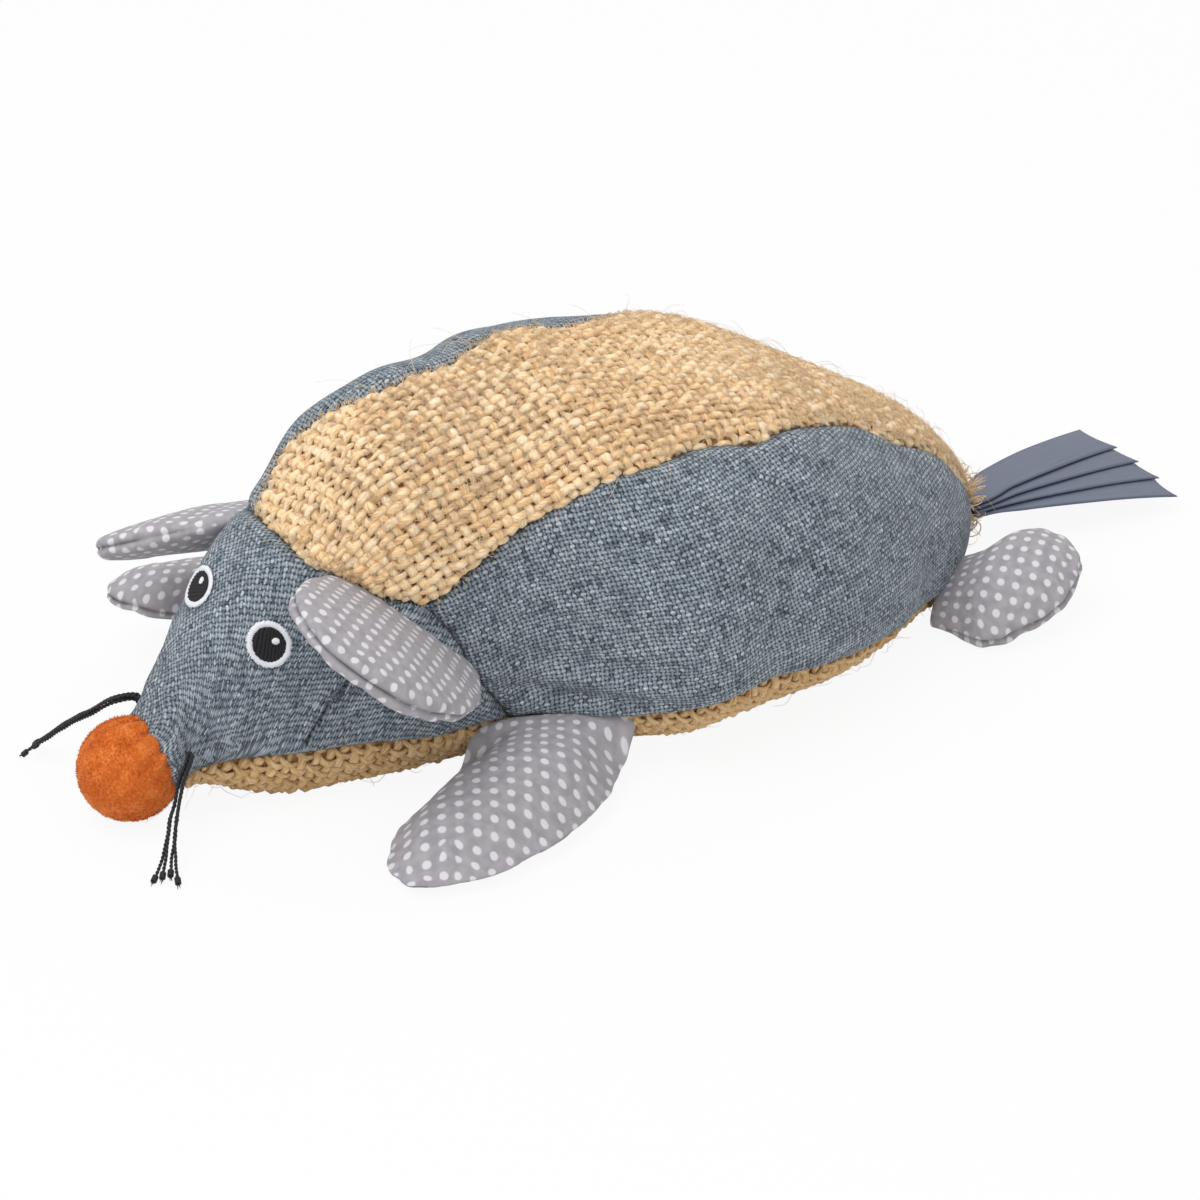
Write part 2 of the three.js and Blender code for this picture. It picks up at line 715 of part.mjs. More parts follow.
function whisker(points) {
  const extrudePath = new THREE.CatmullRomCurve3(points);
  const steps = Math.ceil(extrudePath.getLength() / (whiskerStepDiameters * whiskerDiameter));
  const options = { steps, curveSegments: whiskerSides / 2, extrudePath };
  const tube = new THREE.ExtrudeGeometry(whiskerSection, options);
  const knot = new THREE.SphereGeometry(whiskerKnotDiameter / 2, knotColumns, knotRows);
  knot.translate(...extrudePath.getPointAt(1).toArray());
  return fromManifold(toManifold(closed(tube)).add(toManifold(closed(knot))));
}

// A strand's points: the bundle's route, moved across and over it to the strand's place, and spread at the end
function strandPoints(route, column, layer) {
  const centres = route.map((point) => new THREE.Vector3(...point));
  const last = centres.length - 1;
  const heading = centres[last].clone().sub(centres[0]).setZ(0).normalize();
  const across = new THREE.Vector3(-heading.y, heading.x, 0);
  return centres.map((centre, row) => {
    const tangent = centres[Math.min(row + 1, last)].clone().sub(centres[Math.max(row - 1, 0)]).normalize();
    const over = tangent.cross(across);
    const share = (row / last) ** 2;
    const aside = lerp(column * whiskerPitch, (2 * column + layer) * whiskerSpread, share);
    const above = (1 - share) * layer * whiskerPitch;
    return centre.clone().addScaledVector(across, aside).addScaledVector(over, above);
  });
}

for (const [side, route] of [['left', leftWhiskerRoute], ['right', rightWhiskerRoute]]) {
  whiskerStrands.forEach(([column, layer], k) => {
    place(`whisker_${side}_${k + 1}`, whisker(strandPoints(route, column, layer)), blackThread);
  });
}

// Tail: ribbons that fan from the end of the rump, each lying on the next
const ribbonPitch = ribbonThickness + clearance;
const stackHalf = (ribbonHeadings.length - 1) / 2 * ribbonPitch + ribbonThickness / 2;
const tail = new THREE.Group();
tail.position.set(0, bodyLength - muzzleReach + clearance + stackHalf, tailHeight);
mouse.add(tail);

function ribbon(heading, layer) {
  const level = layer * ribbonPitch;
  const setback = Math.sqrt(Math.max(stackHalf ** 2 - (Math.abs(level) + ribbonThickness / 2) ** 2, 0));
  const at = (lift) => (u, v) => {
    const out = lerp(-setback, ribbonLength, u);
    const width = lerp(ribbonRootWidth, ribbonWidth, smoothstep(u, 0, ribbonFullWidthShare));
    const spread = radians(heading) * smoothstep(u, 0, ribbonFanShare);
    const point = new THREE.Vector3((v - 0.5) * width, out, 0);
    point.applyAxisAngle(new THREE.Vector3(0, 0, 1), spread);
    const away = Math.max(point.y, 0) / ribbonLength;
    point.z = level + lift - ribbonDroop * away ** 2;
    return point;
  };
  return sheet(ribbonRows, ribbonColumns, at(ribbonThickness / 2), at(-ribbonThickness / 2));
}

ribbonHeadings.forEach((heading, k) => {
  const layer = (ribbonHeadings.length - 1) / 2 - k;
  place(`tail_ribbon_${k + 1}`, ribbon(heading, layer), ribbonCloth, tail);
});

export default mouse;
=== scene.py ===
import math

import bpy
import numpy as np
from mathutils import Matrix, Vector, noise
from mathutils.bvhtree import BVHTree


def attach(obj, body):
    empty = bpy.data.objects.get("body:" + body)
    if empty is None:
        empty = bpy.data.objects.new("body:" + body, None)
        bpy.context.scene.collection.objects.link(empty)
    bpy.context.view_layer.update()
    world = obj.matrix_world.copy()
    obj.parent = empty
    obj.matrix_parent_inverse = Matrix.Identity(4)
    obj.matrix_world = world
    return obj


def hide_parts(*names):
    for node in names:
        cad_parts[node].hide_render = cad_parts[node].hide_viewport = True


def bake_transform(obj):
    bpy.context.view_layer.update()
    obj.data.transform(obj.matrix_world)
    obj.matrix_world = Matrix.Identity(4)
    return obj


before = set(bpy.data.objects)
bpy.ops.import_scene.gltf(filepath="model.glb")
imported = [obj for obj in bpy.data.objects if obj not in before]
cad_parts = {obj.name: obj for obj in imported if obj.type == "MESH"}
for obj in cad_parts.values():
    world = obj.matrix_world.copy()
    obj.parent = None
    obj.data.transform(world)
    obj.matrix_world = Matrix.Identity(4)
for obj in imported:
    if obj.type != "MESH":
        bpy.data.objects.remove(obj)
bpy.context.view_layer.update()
MM = 0.001
chance = np.random.default_rng(7)


# Camera: the photograph's angle, along the mouse's left side from in front and above
AZIMUTH, ELEVATION, DISTANCE = 58.0, 30.0, 1104.0
LOOK_AT = (0.0, 0.0, 36.8)
LENS_MM, SENSOR_MM = 122.4, 36.0
SHIFT = (-0.0126, -0.0491)
NEAREST_M, FARTHEST_M = 0.05, 20.0


def make_camera():
    a, e = math.radians(AZIMUTH), math.radians(ELEVATION)
    back = Vector((math.sin(a) * math.cos(e), -math.cos(a) * math.cos(e), math.sin(e)))
    target = Vector(LOOK_AT) * MM
    data = bpy.data.cameras.new("photo_camera")
    camera = bpy.data.objects.new("photo_camera", data)
    bpy.context.scene.collection.objects.link(camera)
    camera.location = target + back * DISTANCE * MM
    camera.rotation_euler = (-back).to_track_quat("-Z", "Y").to_euler()
    data.lens, data.sensor_width = LENS_MM, SENSOR_MM
    data.shift_x, data.shift_y = SHIFT
    data.clip_start, data.clip_end = NEAREST_M, FARTHEST_M
    bpy.context.scene.camera = camera


make_camera()


# Materials
def linear(code):
    """Linear colour of an sRGB hex value."""
    parts = [int(code[k:k + 2], 16) / 255 for k in (1, 3, 5)]
    return [p / 12.92 if p <= 0.04045 else ((p + 0.055) / 1.055) ** 2.4 for p in parts] + [1.0]


def add(tree, kind, links=None, **settings):
    """A node with its settings; links gives values, or the nodes or outputs that feed its inputs."""
    node = tree.nodes.new(kind)
    for name, value in settings.items():
        setattr(node, name, value)
    for key, value in (links or {}).items():
        if isinstance(value, bpy.types.Node):
            value = value.outputs[0]
        if isinstance(value, bpy.types.NodeSocket):
            tree.links.new(value, node.inputs[key])
        else:
            node.inputs[key].default_value = value
    return node


def new_material(name, **values):
    """A material and its surface shader, with plain values set on the shader's own sockets."""
    material = bpy.data.materials.new(name)
    material.use_nodes = True
    tree = material.node_tree
    shader = tree.nodes["Principled BSDF"]
    for key, value in values.items():
        shader.inputs[key.replace("_", " ")].default_value = value
    return material, tree, shader


def ramp(node, stops):
    """Sets a colour ramp's stops, each a place and a hex colour."""
    elements = node.color_ramp.elements
    while len(elements) < len(stops):
        elements.new(0.5)
    for element, (place, code) in zip(elements, stops):
        element.position = place
        element.color = linear(code)
    return node


def dress(tree, shader, colour, height, strength, depth):
    """Gives a surface its colour, and a bump of that strength and depth from a height."""
    bump = add(tree, "ShaderNodeBump", {"Height": height, "Strength": strength, "Distance": depth * MM})
    tree.links.new(colour.outputs[0], shader.inputs["Base Color"])
    tree.links.new(bump.outputs[0], shader.inputs["Normal"])


# Linen-look polyester canvas: plain weave, pale threads along the cloth and dark ones across, slubby and
# dull. The threads waver in two ways, each with a noise scale and a reach
THREAD_PITCH = 1.22
THREAD_WAVERS = ((0.10, 1.8), (0.7, 0.85))
LONG_THREAD = [(0.30, "#525C66"), (0.45, "#8B969F"), (0.58, "#A8B1B9"), (0.75, "#BEC6CD")]
CROSS_THREAD = [(0.30, "#454F59"), (0.45, "#788490"), (0.58, "#98A3AD"), (0.75, "#AEB7BF")]


def wavering(tree, uv):
    """The cloth's flat places, moved so that its threads waver."""
    moved = uv
    for scale, reach in THREAD_WAVERS:
        wander = add(tree, "ShaderNodeTexNoise", {"Vector": uv, "Scale": scale, "Detail": 1.0})
        shifted = add(tree, "ShaderNodeVectorMath", {0: wander.outputs["Color"], 1: (reach, reach, 0.0)},
                      operation="MULTIPLY")
        moved = add(tree, "ShaderNodeVectorMath", {0: moved, 1: shifted}, operation="ADD")
    return moved


def thread_colours(tree, number, moved):
    """The colours of the threads along and across at a place: each thread's number gives its own slubs."""
    flat = add(tree, "ShaderNodeSeparateXYZ", {0: moved})
    tones = []
    for across, along, level, stops in ((0, 1, 0.0, LONG_THREAD), (1, 0, 40.0, CROSS_THREAD)):
        spread = add(tree, "ShaderNodeMath", {0: number.outputs[across], 1: 3.7}, operation="MULTIPLY")
        slow = add(tree, "ShaderNodeMath", {0: flat.outputs[along], 1: 0.15}, operation="MULTIPLY")
        place = add(tree, "ShaderNodeCombineXYZ", {0: spread, 1: slow, 2: level})
        slub = add(tree, "ShaderNodeTexNoise",
                   {"Vector": place, "Scale": 1.0, "Detail": 2.0, "Roughness": 0.6})
        tones.append(ramp(add(tree, "ShaderNodeValToRGB", {0: slub.outputs["Fac"]}), stops))
    return tones


def crown_and_pit(tree, within, over):
    """The round of the thread on top at a place, and the painted shade of the hole where the threads leave a
    gap.
    """
    inside = add(tree, "ShaderNodeSeparateXYZ", {0: within})
    waves, hollows = [], []
    for k in (0, 1):
        turn = add(tree, "ShaderNodeMath", {0: inside.outputs[k], 1: math.pi}, operation="MULTIPLY")
        waves.append(add(tree, "ShaderNodeMath", {0: turn}, operation="SINE"))
        hollows.append(add(tree, "ShaderNodeMath", {0: 1.0, 1: waves[k]}, operation="SUBTRACT"))
    crown = add(tree, "ShaderNodeMix", {0: over, 2: waves[0], 3: waves[1]}, data_type="FLOAT")
    hollow = add(tree, "ShaderNodeMath", {0: hollows[0], 1: hollows[1]}, operation="MULTIPLY")
    return crown, add(tree, "ShaderNodeMapRange", {0: hollow, 2: 0.55, 3: 1.0, 4: 0.25})


def canvas_shade(tree, uv, crown, pit):
    """Painted shade and the cloth's own light and dark on top of the colours: painted shade on the round
    threads, in their holes and at the seams, and the fibres' and slow patches' own tone.
    """
    # painted shade: each thread is lighter on its crown and darker at its round sides, and the holes are
    # darker
    narrow = add(tree, "ShaderNodeMath", {0: crown, 1: 1.5}, operation="POWER")
    side = add(tree, "ShaderNodeMapRange", {0: narrow, 3: 0.50, 4: 1.18})
    shade = add(tree, "ShaderNodeMath", {0: side, 1: pit}, operation="MULTIPLY")
    fibres = add(tree, "ShaderNodeTexNoise", {"Vector": uv, "Scale": 2.6, "Detail": 2.0})
    grain = add(tree, "ShaderNodeMapRange", {0: fibres.outputs["Fac"], 1: 0.3, 2: 0.7, 3: 0.68, 4: 1.3})
    shade = add(tree, "ShaderNodeMath", {0: shade, 1: grain}, operation="MULTIPLY")
    melange = add(tree, "ShaderNodeTexNoise", {"Vector": uv, "Scale": 0.16, "Detail": 3.0})
    patch = add(tree, "ShaderNodeMapRange", {0: melange.outputs["Fac"], 1: 0.3, 2: 0.7, 3: 0.84, 4: 1.14})
    # painted shade along the seams and cheek darts, from the cloth's tone attribute
    seam = add(tree, "ShaderNodeAttribute", attribute_name="tone")
    painted_seam_shade = add(tree, "ShaderNodeMapRange", {0: seam.outputs["Fac"], 3: 1.0, 4: 0.3})
    patch = add(tree, "ShaderNodeMath", {0: patch, 1: painted_seam_shade}, operation="MULTIPLY")
    return add(tree, "ShaderNodeMath", {0: shade, 1: patch}, operation="MULTIPLY")


def linen_look_canvas():
    material, tree, shader = new_material("linen_look_polyester_canvas", Roughness=0.88, Sheen_Weight=0.1,
                                          Specular_IOR_Level=0.22)
    uv = add(tree, "ShaderNodeUVMap", uv_map="cloth")
    moved = wavering(tree, uv)
    counted = add(tree, "ShaderNodeVectorMath", {0: moved, "Scale": 1 / THREAD_PITCH}, operation="SCALE")
    count = add(tree, "ShaderNodeVectorMath", {0: counted}, operation="FLOOR")
    within = add(tree, "ShaderNodeVectorMath", {0: counted}, operation="FRACTION")
    number = add(tree, "ShaderNodeSeparateXYZ", {0: count})
    total = add(tree, "ShaderNodeMath", {0: number.outputs[0], 1: number.outputs[1]}, operation="ADD")
    over = add(tree, "ShaderNodeMath", {0: total, 1: 2.0}, operation="FLOORED_MODULO")
    tones = thread_colours(tree, number, moved)
    threads = add(tree, "ShaderNodeMix", {0: over, 6: tones[0], 7: tones[1]}, data_type="RGBA")
    crown, pit = crown_and_pit(tree, within, over)
    level = canvas_shade(tree, uv, crown, pit)
    colour = add(tree, "ShaderNodeVectorMath", {0: threads.outputs[2], "Scale": level}, operation="SCALE")
    height = add(tree, "ShaderNodeMath", {0: crown, 1: pit}, operation="MULTIPLY")
    dress(tree, shader, colour, height, 0.7, 0.4)
    return material


# Jute yarn: loosely spun raw bast fibre, golden and dull, with pale and brown streaks along it
def jute_yarn(name, dark, middle, light):
    material, tree, shader = new_material(name, Roughness=0.82, Sheen_Weight=0.15, Specular_IOR_Level=0.25)
    uv = add(tree, "ShaderNodeUVMap", uv_map="cloth")
    part = add(tree, "ShaderNodeSeparateXYZ", {0: uv})
    twist = add(tree, "ShaderNodeMath", {0: part.outputs[1], 1: 0.09}, operation="MULTIPLY")
    around = add(tree, "ShaderNodeMath", {0: part.outputs[0], 1: twist}, operation="ADD")
    wide = add(tree, "ShaderNodeMath", {0: around, 1: 17.0}, operation="MULTIPLY")
    slow = add(tree, "ShaderNodeMath", {0: part.outputs[1], 1: 0.28}, operation="MULTIPLY")
    tone = add(tree, "ShaderNodeAttribute", attribute_name="tone")
    place = add(tree, "ShaderNodeCombineXYZ", {0: wide, 1: slow, 2: tone.outputs["Fac"]})
    fibre = add(tree, "ShaderNodeTexNoise", {"Vector": place, "Scale": 1.0, "Detail": 4.0, "Roughness": 0.7})
    lean = add(tree, "ShaderNodeMath", {0: tone.outputs["Fac"], 1: 1.0}, operation="FRACT")
    own = add(tree, "ShaderNodeMapRange", {0: lean, 3: -0.06, 4: 0.06})
    mixed = add(tree, "ShaderNodeMath", {0: fibre.outputs["Fac"], 1: own}, operation="ADD")
    colour = ramp(add(tree, "ShaderNodeValToRGB", {0: mixed}), [(0.33, dark), (0.48, middle), (0.66, light)])
    dress(tree, shader, colour, fibre.outputs["Fac"], 0.7, 0.45)
    return material


# Cotton print: smooth shirting weight cloth with a square grid of round pale dots. Its threads are too fine
# for the picture, and are drawn as wide as it needs to show them
DOT_PITCH, DOT_DIAMETER, DOT_BLUR = 4.2, 2.05, 0.045
COTTON_THREAD = 0.5
COTTON_GREY, COTTON_DOT = [(0.35, "#9E9A9F"), (0.65, "#B0ACB1")], "#DFDDE2"


def dotted_cotton_print():
    material, tree, shader = new_material("dotted_cotton_print", Roughness=0.8, Sheen_Weight=0.1,
                                          Specular_IOR_Level=0.3)
    uv = add(tree, "ShaderNodeUVMap", uv_map="cloth")
    counted = add(tree, "ShaderNodeVectorMath", {0: uv, "Scale": 1 / DOT_PITCH}, operation="SCALE")
    within = add(tree, "ShaderNodeVectorMath", {0: counted}, operation="FRACTION")
    centred = add(tree, "ShaderNodeVectorMath", {0: within, 1: (0.5, 0.5, 0.0)}, operation="SUBTRACT")
    radius = add(tree, "ShaderNodeVectorMath", {0: centred}, operation="LENGTH")
    edge = DOT_DIAMETER / DOT_PITCH / 2
    bleed = add(tree, "ShaderNodeTexNoise", {"Vector": uv, "Scale": 2.2, "Detail": 3.0})
    rough = add(tree, "ShaderNodeMapRange", {0: bleed.outputs["Fac"], 3: -0.03, 4: 0.03})
    ragged = add(tree, "ShaderNodeMath", {0: radius.outputs["Value"], 1: rough}, operation="ADD")
    dot = add(tree, "ShaderNodeMapRange", {0: ragged, 1: edge - DOT_BLUR, 2: edge + DOT_BLUR, 3: 1.0, 4: 0.0})
    threads = add(tree, "ShaderNodeVectorMath", {0: uv, "Scale": 1 / COTTON_THREAD}, operation="SCALE")
    part = add(tree, "ShaderNodeSeparateXYZ", {0: threads})
    waves = []
    for k in (0, 1):
        turn = add(tree, "ShaderNodeMath", {0: part.outputs[k], 1: 2 * math.pi}, operation="MULTIPLY")
        waves.append(add(tree, "ShaderNodeMath", {0: turn}, operation="SINE"))
    weave = add(tree, "ShaderNodeMath", {0: waves[0], 1: waves[1]}, operation="MULTIPLY")
    # painted shade: the cloth is darker between its threads and lighter on them
    ground = add(tree, "ShaderNodeMapRange", {0: weave, 1: -1.0, 3: 0.88, 4: 1.08})
    cloth = add(tree, "ShaderNodeTexNoise", {"Vector": uv, "Scale": 0.35, "Detail": 3.0})
    base = ramp(add(tree, "ShaderNodeValToRGB", {0: cloth.outputs["Fac"]}), COTTON_GREY)
    printed = add(tree, "ShaderNodeMix", {0: dot, 6: base, 7: linear(COTTON_DOT)}, data_type="RGBA")
    # painted shade along the sewn edges, from the tone attribute
    seam = add(tree, "ShaderNodeAttribute", attribute_name="tone")
    painted_seam_shade = add(tree, "ShaderNodeMapRange", {0: seam.outputs["Fac"], 3: 1.0, 4: 0.35})
    level = add(tree, "ShaderNodeMath", {0: ground, 1: painted_seam_shade}, operation="MULTIPLY")
    colour = add(tree, "ShaderNodeVectorMath", {0: printed.outputs[2], "Scale": level}, operation="SCALE")
    dress(tree, shader, colour, weave, 0.3, 0.14)
    return material


# Short-pile polyester plush: soft orange nap, paler and darker in random patches
def plush_pile():
    material, tree, shader = new_material("short_pile_plush", Roughness=0.95, Sheen_Weight=0.5,
                                          Sheen_Tint=linear("#FFB070"), Specular_IOR_Level=0.1)
    place = add(tree, "ShaderNodeTexCoord").outputs["Object"]
    nap = add(tree, "ShaderNodeTexNoise", {"Vector": place, "Scale": 260.0, "Detail": 4.0})
    tuft = add(tree, "ShaderNodeTexNoise", {"Vector": place, "Scale": 1400.0, "Detail": 2.0})
    blend = add(tree, "ShaderNodeMath", {0: nap.outputs["Fac"], 1: tuft.outputs["Fac"]}, operation="ADD")
    half = add(tree, "ShaderNodeMath", {0: blend, 1: 0.5}, operation="MULTIPLY")
    colour = ramp(add(tree, "ShaderNodeValToRGB", {0: half}), [
        (0.34, "#B3541D"), (0.50, "#CF692C"), (0.66, "#E28544"),
    ])
    dress(tree, shader, colour, tuft.outputs["Fac"], 0.5, 0.4)
    return material


# Rayon embroidery thread, cord and ribbon: fine streaks along the length, with a soft gloss
def streaked_thread(name, dark, light, roughness, streak, uv_scale):
    material, tree, shader = new_material(name, Roughness=roughness, Specular_IOR_Level=0.4)
    uv = add(tree, "ShaderNodeUVMap", uv_map="cloth")
    stretched = add(tree, "ShaderNodeVectorMath", {0: uv, 1: uv_scale}, operation="MULTIPLY")
    grain = add(tree, "ShaderNodeTexNoise", {"Vector": stretched, "Scale": 1.0, "Detail": 3.0})
    colour = ramp(add(tree, "ShaderNodeValToRGB", {0: grain.outputs["Fac"]}), [(0.35, dark), (0.65, light)])
    dress(tree, shader, colour, grain.outputs["Fac"], streak, 0.15)
    return material


# Inner goods: spun polyester wadding, thin muslin and dried leaf, matt and mottled
def mottled(name, dark, light, scale):
    material, tree, shader = new_material(name, Roughness=0.95)
    place = add(tree, "ShaderNodeTexCoord").outputs["Object"]
    patches = add(tree, "ShaderNodeTexNoise", {"Vector": place, "Scale": scale, "Detail": 5.0})
    colour = ramp(add(tree, "ShaderNodeValToRGB", {0: patches.outputs["Fac"]}), [(0.35, dark), (0.65, light)])
    dress(tree, shader, colour, patches.outputs["Fac"], 0.6, 0.6)
    return material


canvas = linen_look_canvas()
jute = jute_yarn("raw_jute_yarn", "#DFAE74", "#FFDCA9", "#FFF3DA")
# painted shade: the belly's yarn is the same jute in darker colours, as it faces away from the light
jute_belly = jute_yarn("shaded_jute_yarn", "#A9824C", "#D8B07A", "#F0D2A4")
# painted shade: the backing is the same jute, darker, standing for the shade in the holes between the yarns
jute_inside = jute_yarn("shaded_jute_backing", "#9C6B3A", "#C08D54", "#DCAF78")
jute_fibre = jute_yarn("loose_jute_fibre", "#EBC28A", "#FFDDAE", "#FFF0D6")
dotted = dotted_cotton_print()
plush = plush_pile()
black_thread = streaked_thread("black_rayon_thread", "#0E0E11", "#232328", 0.55, 0.4, (4.0, 0.5, 1.0))
white_thread = streaked_thread("white_rayon_thread", "#D9D9E2", "#F6F6FA", 0.5, 0.4, (4.0, 0.5, 1.0))
black_cord = streaked_thread("black_waxed_cord", "#101013", "#2B2B30", 0.6, 0.6, (6.0, 0.8, 1.0))
ribbon_satin = streaked_thread("slate_satin_ribbon", "#525A6D", "#5D6579", 0.42, 0.2, (3.5, 0.06, 1.0))
wadding = mottled("polyester_wadding", "#E3E0D8", "#F8F6F0", 300.0)
muslin = mottled("cotton_muslin", "#D8CBB0", "#EFE5D0", 900.0)
dried_leaf = mottled("dried_catnip_leaf", "#4B5630", "#8B9560", 700.0)


# Making pieces
def only(obj):
    """Leaves one object selected and active."""
    for other in bpy.context.selected_objects:
        other.select_set(False)
    obj.select_set(True)
    bpy.context.view_layer.objects.active = obj


def piece(name, points, faces, material, uv=None, tone=None):
    """A mesh piece from points in millimetres and faces, shaded smooth."""
    mesh = bpy.data.meshes.new(name)
    listed = faces if isinstance(faces, list) else faces.tolist()
    mesh.from_pydata((np.asarray(points) * MM).tolist(), [], listed)
    if uv is not None:
        mesh.uv_layers.new(name="cloth").uv.foreach_set("vector", np.asarray(uv, np.float32).ravel())
    if tone is not None:
        values = mesh.attributes.new("tone", "FLOAT", "POINT")
        values.data.foreach_set("value", np.asarray(tone, np.float32))
    mesh.materials.append(material)
    obj = bpy.data.objects.new(name, mesh)
    bpy.context.scene.collection.objects.link(obj)
    only(obj)
    bpy.ops.object.shade_smooth()
    return obj


def positions(obj):
    co = np.zeros(len(obj.data.vertices) * 3)
    obj.data.vertices.foreach_get("co", co)
    return co.reshape(-1, 3) / MM


def vertex_normals(obj):
    return np.array([v.normal for v in obj.data.vertices])


def move_to(obj, points):
    obj.data.vertices.foreach_set("co", (np.asarray(points) * MM).astype(np.float32).ravel())
    obj.data.update()


def edit(obj, operator, **settings):
    """Runs an edit mode operator on all of an object's mesh."""
    only(obj)
    bpy.ops.object.mode_set(mode="EDIT")
    bpy.ops.mesh.select_all(action="SELECT")
    operator(**settings)
    bpy.ops.object.mode_set(mode="OBJECT")


def round_off(obj):
    """Adds one level of rounding to an object."""
    rounding = obj.modifiers.new("rounding", "SUBSURF")
    rounding.levels = rounding.render_levels = 1


def thicken(obj, thickness, offset):
    """Adds a wall to an object: inwards at an offset of -1, and both ways at 0."""
    wall = obj.modifiers.new("wall", "SOLIDIFY")
    wall.thickness, wall.offset = thickness * MM, offset


def apply_modifiers(obj):
    only(obj)
    for modifier in list(obj.modifiers):
        bpy.ops.object.modifier_apply(modifier=modifier.name)
    bpy.ops.object.shade_smooth()


def finish_cloth(obj, out, thickness, rounded=True):
    """Turns the cloth's faces outwards, smooths it and gives it its thickness inwards."""
    normals = np.zeros(len(obj.data.polygons) * 3)
    obj.data.polygons.foreach_get("normal", normals)
    sample = out.reshape(-1, 3)[[f.vertices[0] for f in obj.data.polygons]]
    if (normals.reshape(-1, 3) * sample).sum() < 0:
        edit(obj, bpy.ops.mesh.flip_normals)
    if rounded:
        round_off(obj)
    thicken(obj, thickness, -1.0)
    apply_modifiers(obj)


def unit(v):
    return v / np.maximum(np.linalg.norm(v, axis=-1, keepdims=True), 1e-9)


def smooth(x, low, high):
    """Eases from 0 at low to 1 at high."""
    t = np.clip((x - low) / (high - low), 0, 1)
    return t * t * (3 - 2 * t)


def above(points, lowest):
    """Lifts the points that lie under a height."""
    points[:, 2] = np.maximum(points[:, 2], lowest)
    return points


def lumps(points, size, depth, seed=0.0):
    """Smooth noise at each point, from about -1 to 1, with lumps of that size."""
    return np.array([noise.fractal(Vector((p[0] / size + seed, p[1] / size, p[2] / size)), 0.6, 2.0, depth)
                     for p in np.asarray(points).reshape(-1, 3)]).reshape(np.shape(points)[:-1])


def grid_quads(rows, columns):
    """Faces of a grid of rows by columns of cells, numbered along each row of points."""
    corner = (np.arange(rows)[:, None] * (columns + 1) + np.arange(columns)[None]).ravel()
    return np.stack([corner, corner + 1, corner + columns + 2, corner + columns + 1], 1)


def distances(path):
    """How far along a path each of its points lies."""
    return np.concatenate([[0], np.cumsum(np.linalg.norm(np.diff(path, axis=0), axis=1))])


def evenly(path, count):
    """Points evenly spaced along a path."""
    along = distances(path)
    at = np.linspace(0, along[-1], count)
    return np.stack([np.interp(at, along, path[:, k]) for k in range(3)], 1)


def smooth_line(points, count):
    """Points evenly spaced on a smooth line through the given ones."""
    p = np.asarray(points, float)
    p = np.concatenate([[2 * p[0] - p[1]], p, [2 * p[-1] - p[-2]]])
    fine = []
    for k in range(1, len(p) - 2):
        t = np.linspace(0, 1, 24, endpoint=False)[:, None]
        a, b, c, d = p[k - 1:k + 3]
        fine.append(0.5 * (2 * b + (c - a) * t + (2 * a - 5 * b + 4 * c - d) * t ** 2
                           + (3 * b - a - 3 * c + d) * t ** 3))
    return evenly(np.concatenate(fine + [p[-2:-1]]), count)


def strands(name, parts, sides, material):
    """Many tubes as one piece. A part is its path, its upward side, half width and half height at each point,
    and its tone. Each tube's own map gives the share round it, then the distance along it."""
    turn = np.arange(sides) * 2 * math.pi / sides
    points, quads, uvs, tones, base = [], [], [], [], 0
    for path, up, wide, high, tone in parts:
        n = len(path)
        tangent = unit(np.gradient(path, axis=0))
        up = unit(up - tangent * (up * tangent).sum(1, keepdims=True))
        side = np.cross(tangent, up)
        ring = (path[:, None] + side[:, None] * (np.cos(turn)[None, :, None] * np.reshape(wide, (-1, 1, 1)))
                + up[:, None] * (np.sin(turn)[None, :, None] * np.reshape(high, (-1, 1, 1))))
        along = distances(path)
        i, j = np.divmod(np.arange((n - 1) * sides), sides)
        k = (j + 1) % sides
        here, ahead = i * sides, (i + 1) * sides
        quads.append(base + np.stack([here + k, here + j, ahead + j, ahead + k], 1))
        u0, u1, v0, v1 = j / sides, (j + 1) / sides, along[i], along[i + 1]
        uvs.append(np.stack([u1, v0, u0, v0, u0, v1, u1, v1], 1).reshape(-1, 2))
        for start, order in ((0, 1), ((n - 1) * sides, -1)):
            fan = np.array([[0, q, q + 1, q + 2][::order] for q in range(1, sides - 2, 2)])
            quads.append(base + start + fan)
            uvs.append(np.zeros((fan.size, 2)) + [0.5, along[0 if order > 0 else -1]])
        points.append(ring.reshape(-1, 3))
        tones.append(np.full(n * sides, tone))
        base += n * sides
    return piece(name, np.concatenate(points), np.concatenate(quads), material, np.concatenate(uvs),
                 np.concatenate(tones))


# Whiskers: four strands of twisted cord at each cheek, on the solids' own routes, each knotted at its end
WHISKER_DIAMETER, WHISKER_PITCH, WHISKER_SPREAD = 0.95, 1.08, 2.1
WHISKER_PLACES = [(-0.5, -0.5), (0.5, -0.5), (-0.5, 0.5), (0.5, 0.5)]
WHISKER_STEPS, WHISKER_SWAY = 32, 0.45
PLIES, PLY_LAY, PLY_OFFSET, PLY_RADIUS = 2, 2.4, 0.24, 0.27
KNOT_LOOPS, KNOT_RADIUS, KNOT_FIBRES, KNOT_FIBRE = (-0.55, 0.1, 0.7), 0.34, 5, 0.16
WHISKER_ROUTES = {
    "left": [(12.75, -136.1, 22.2), (14.6, -136.9, 21.7), (16.2, -140.6, 15.6), (21.2, -145.6, 8.6),
             (27.8, -150.4, 3.8), (33.6, -154.2, 1.4)],
    "right": [(-10.8, -137.9, 26.2), (-12.4, -139, 27), (-14.6, -143.2, 26.2), (-19.6, -147, 21.6),
              (-27.8, -150.6, 14.6), (-36, -154.4, 6.6), (-41, -157, 1.4)],
}


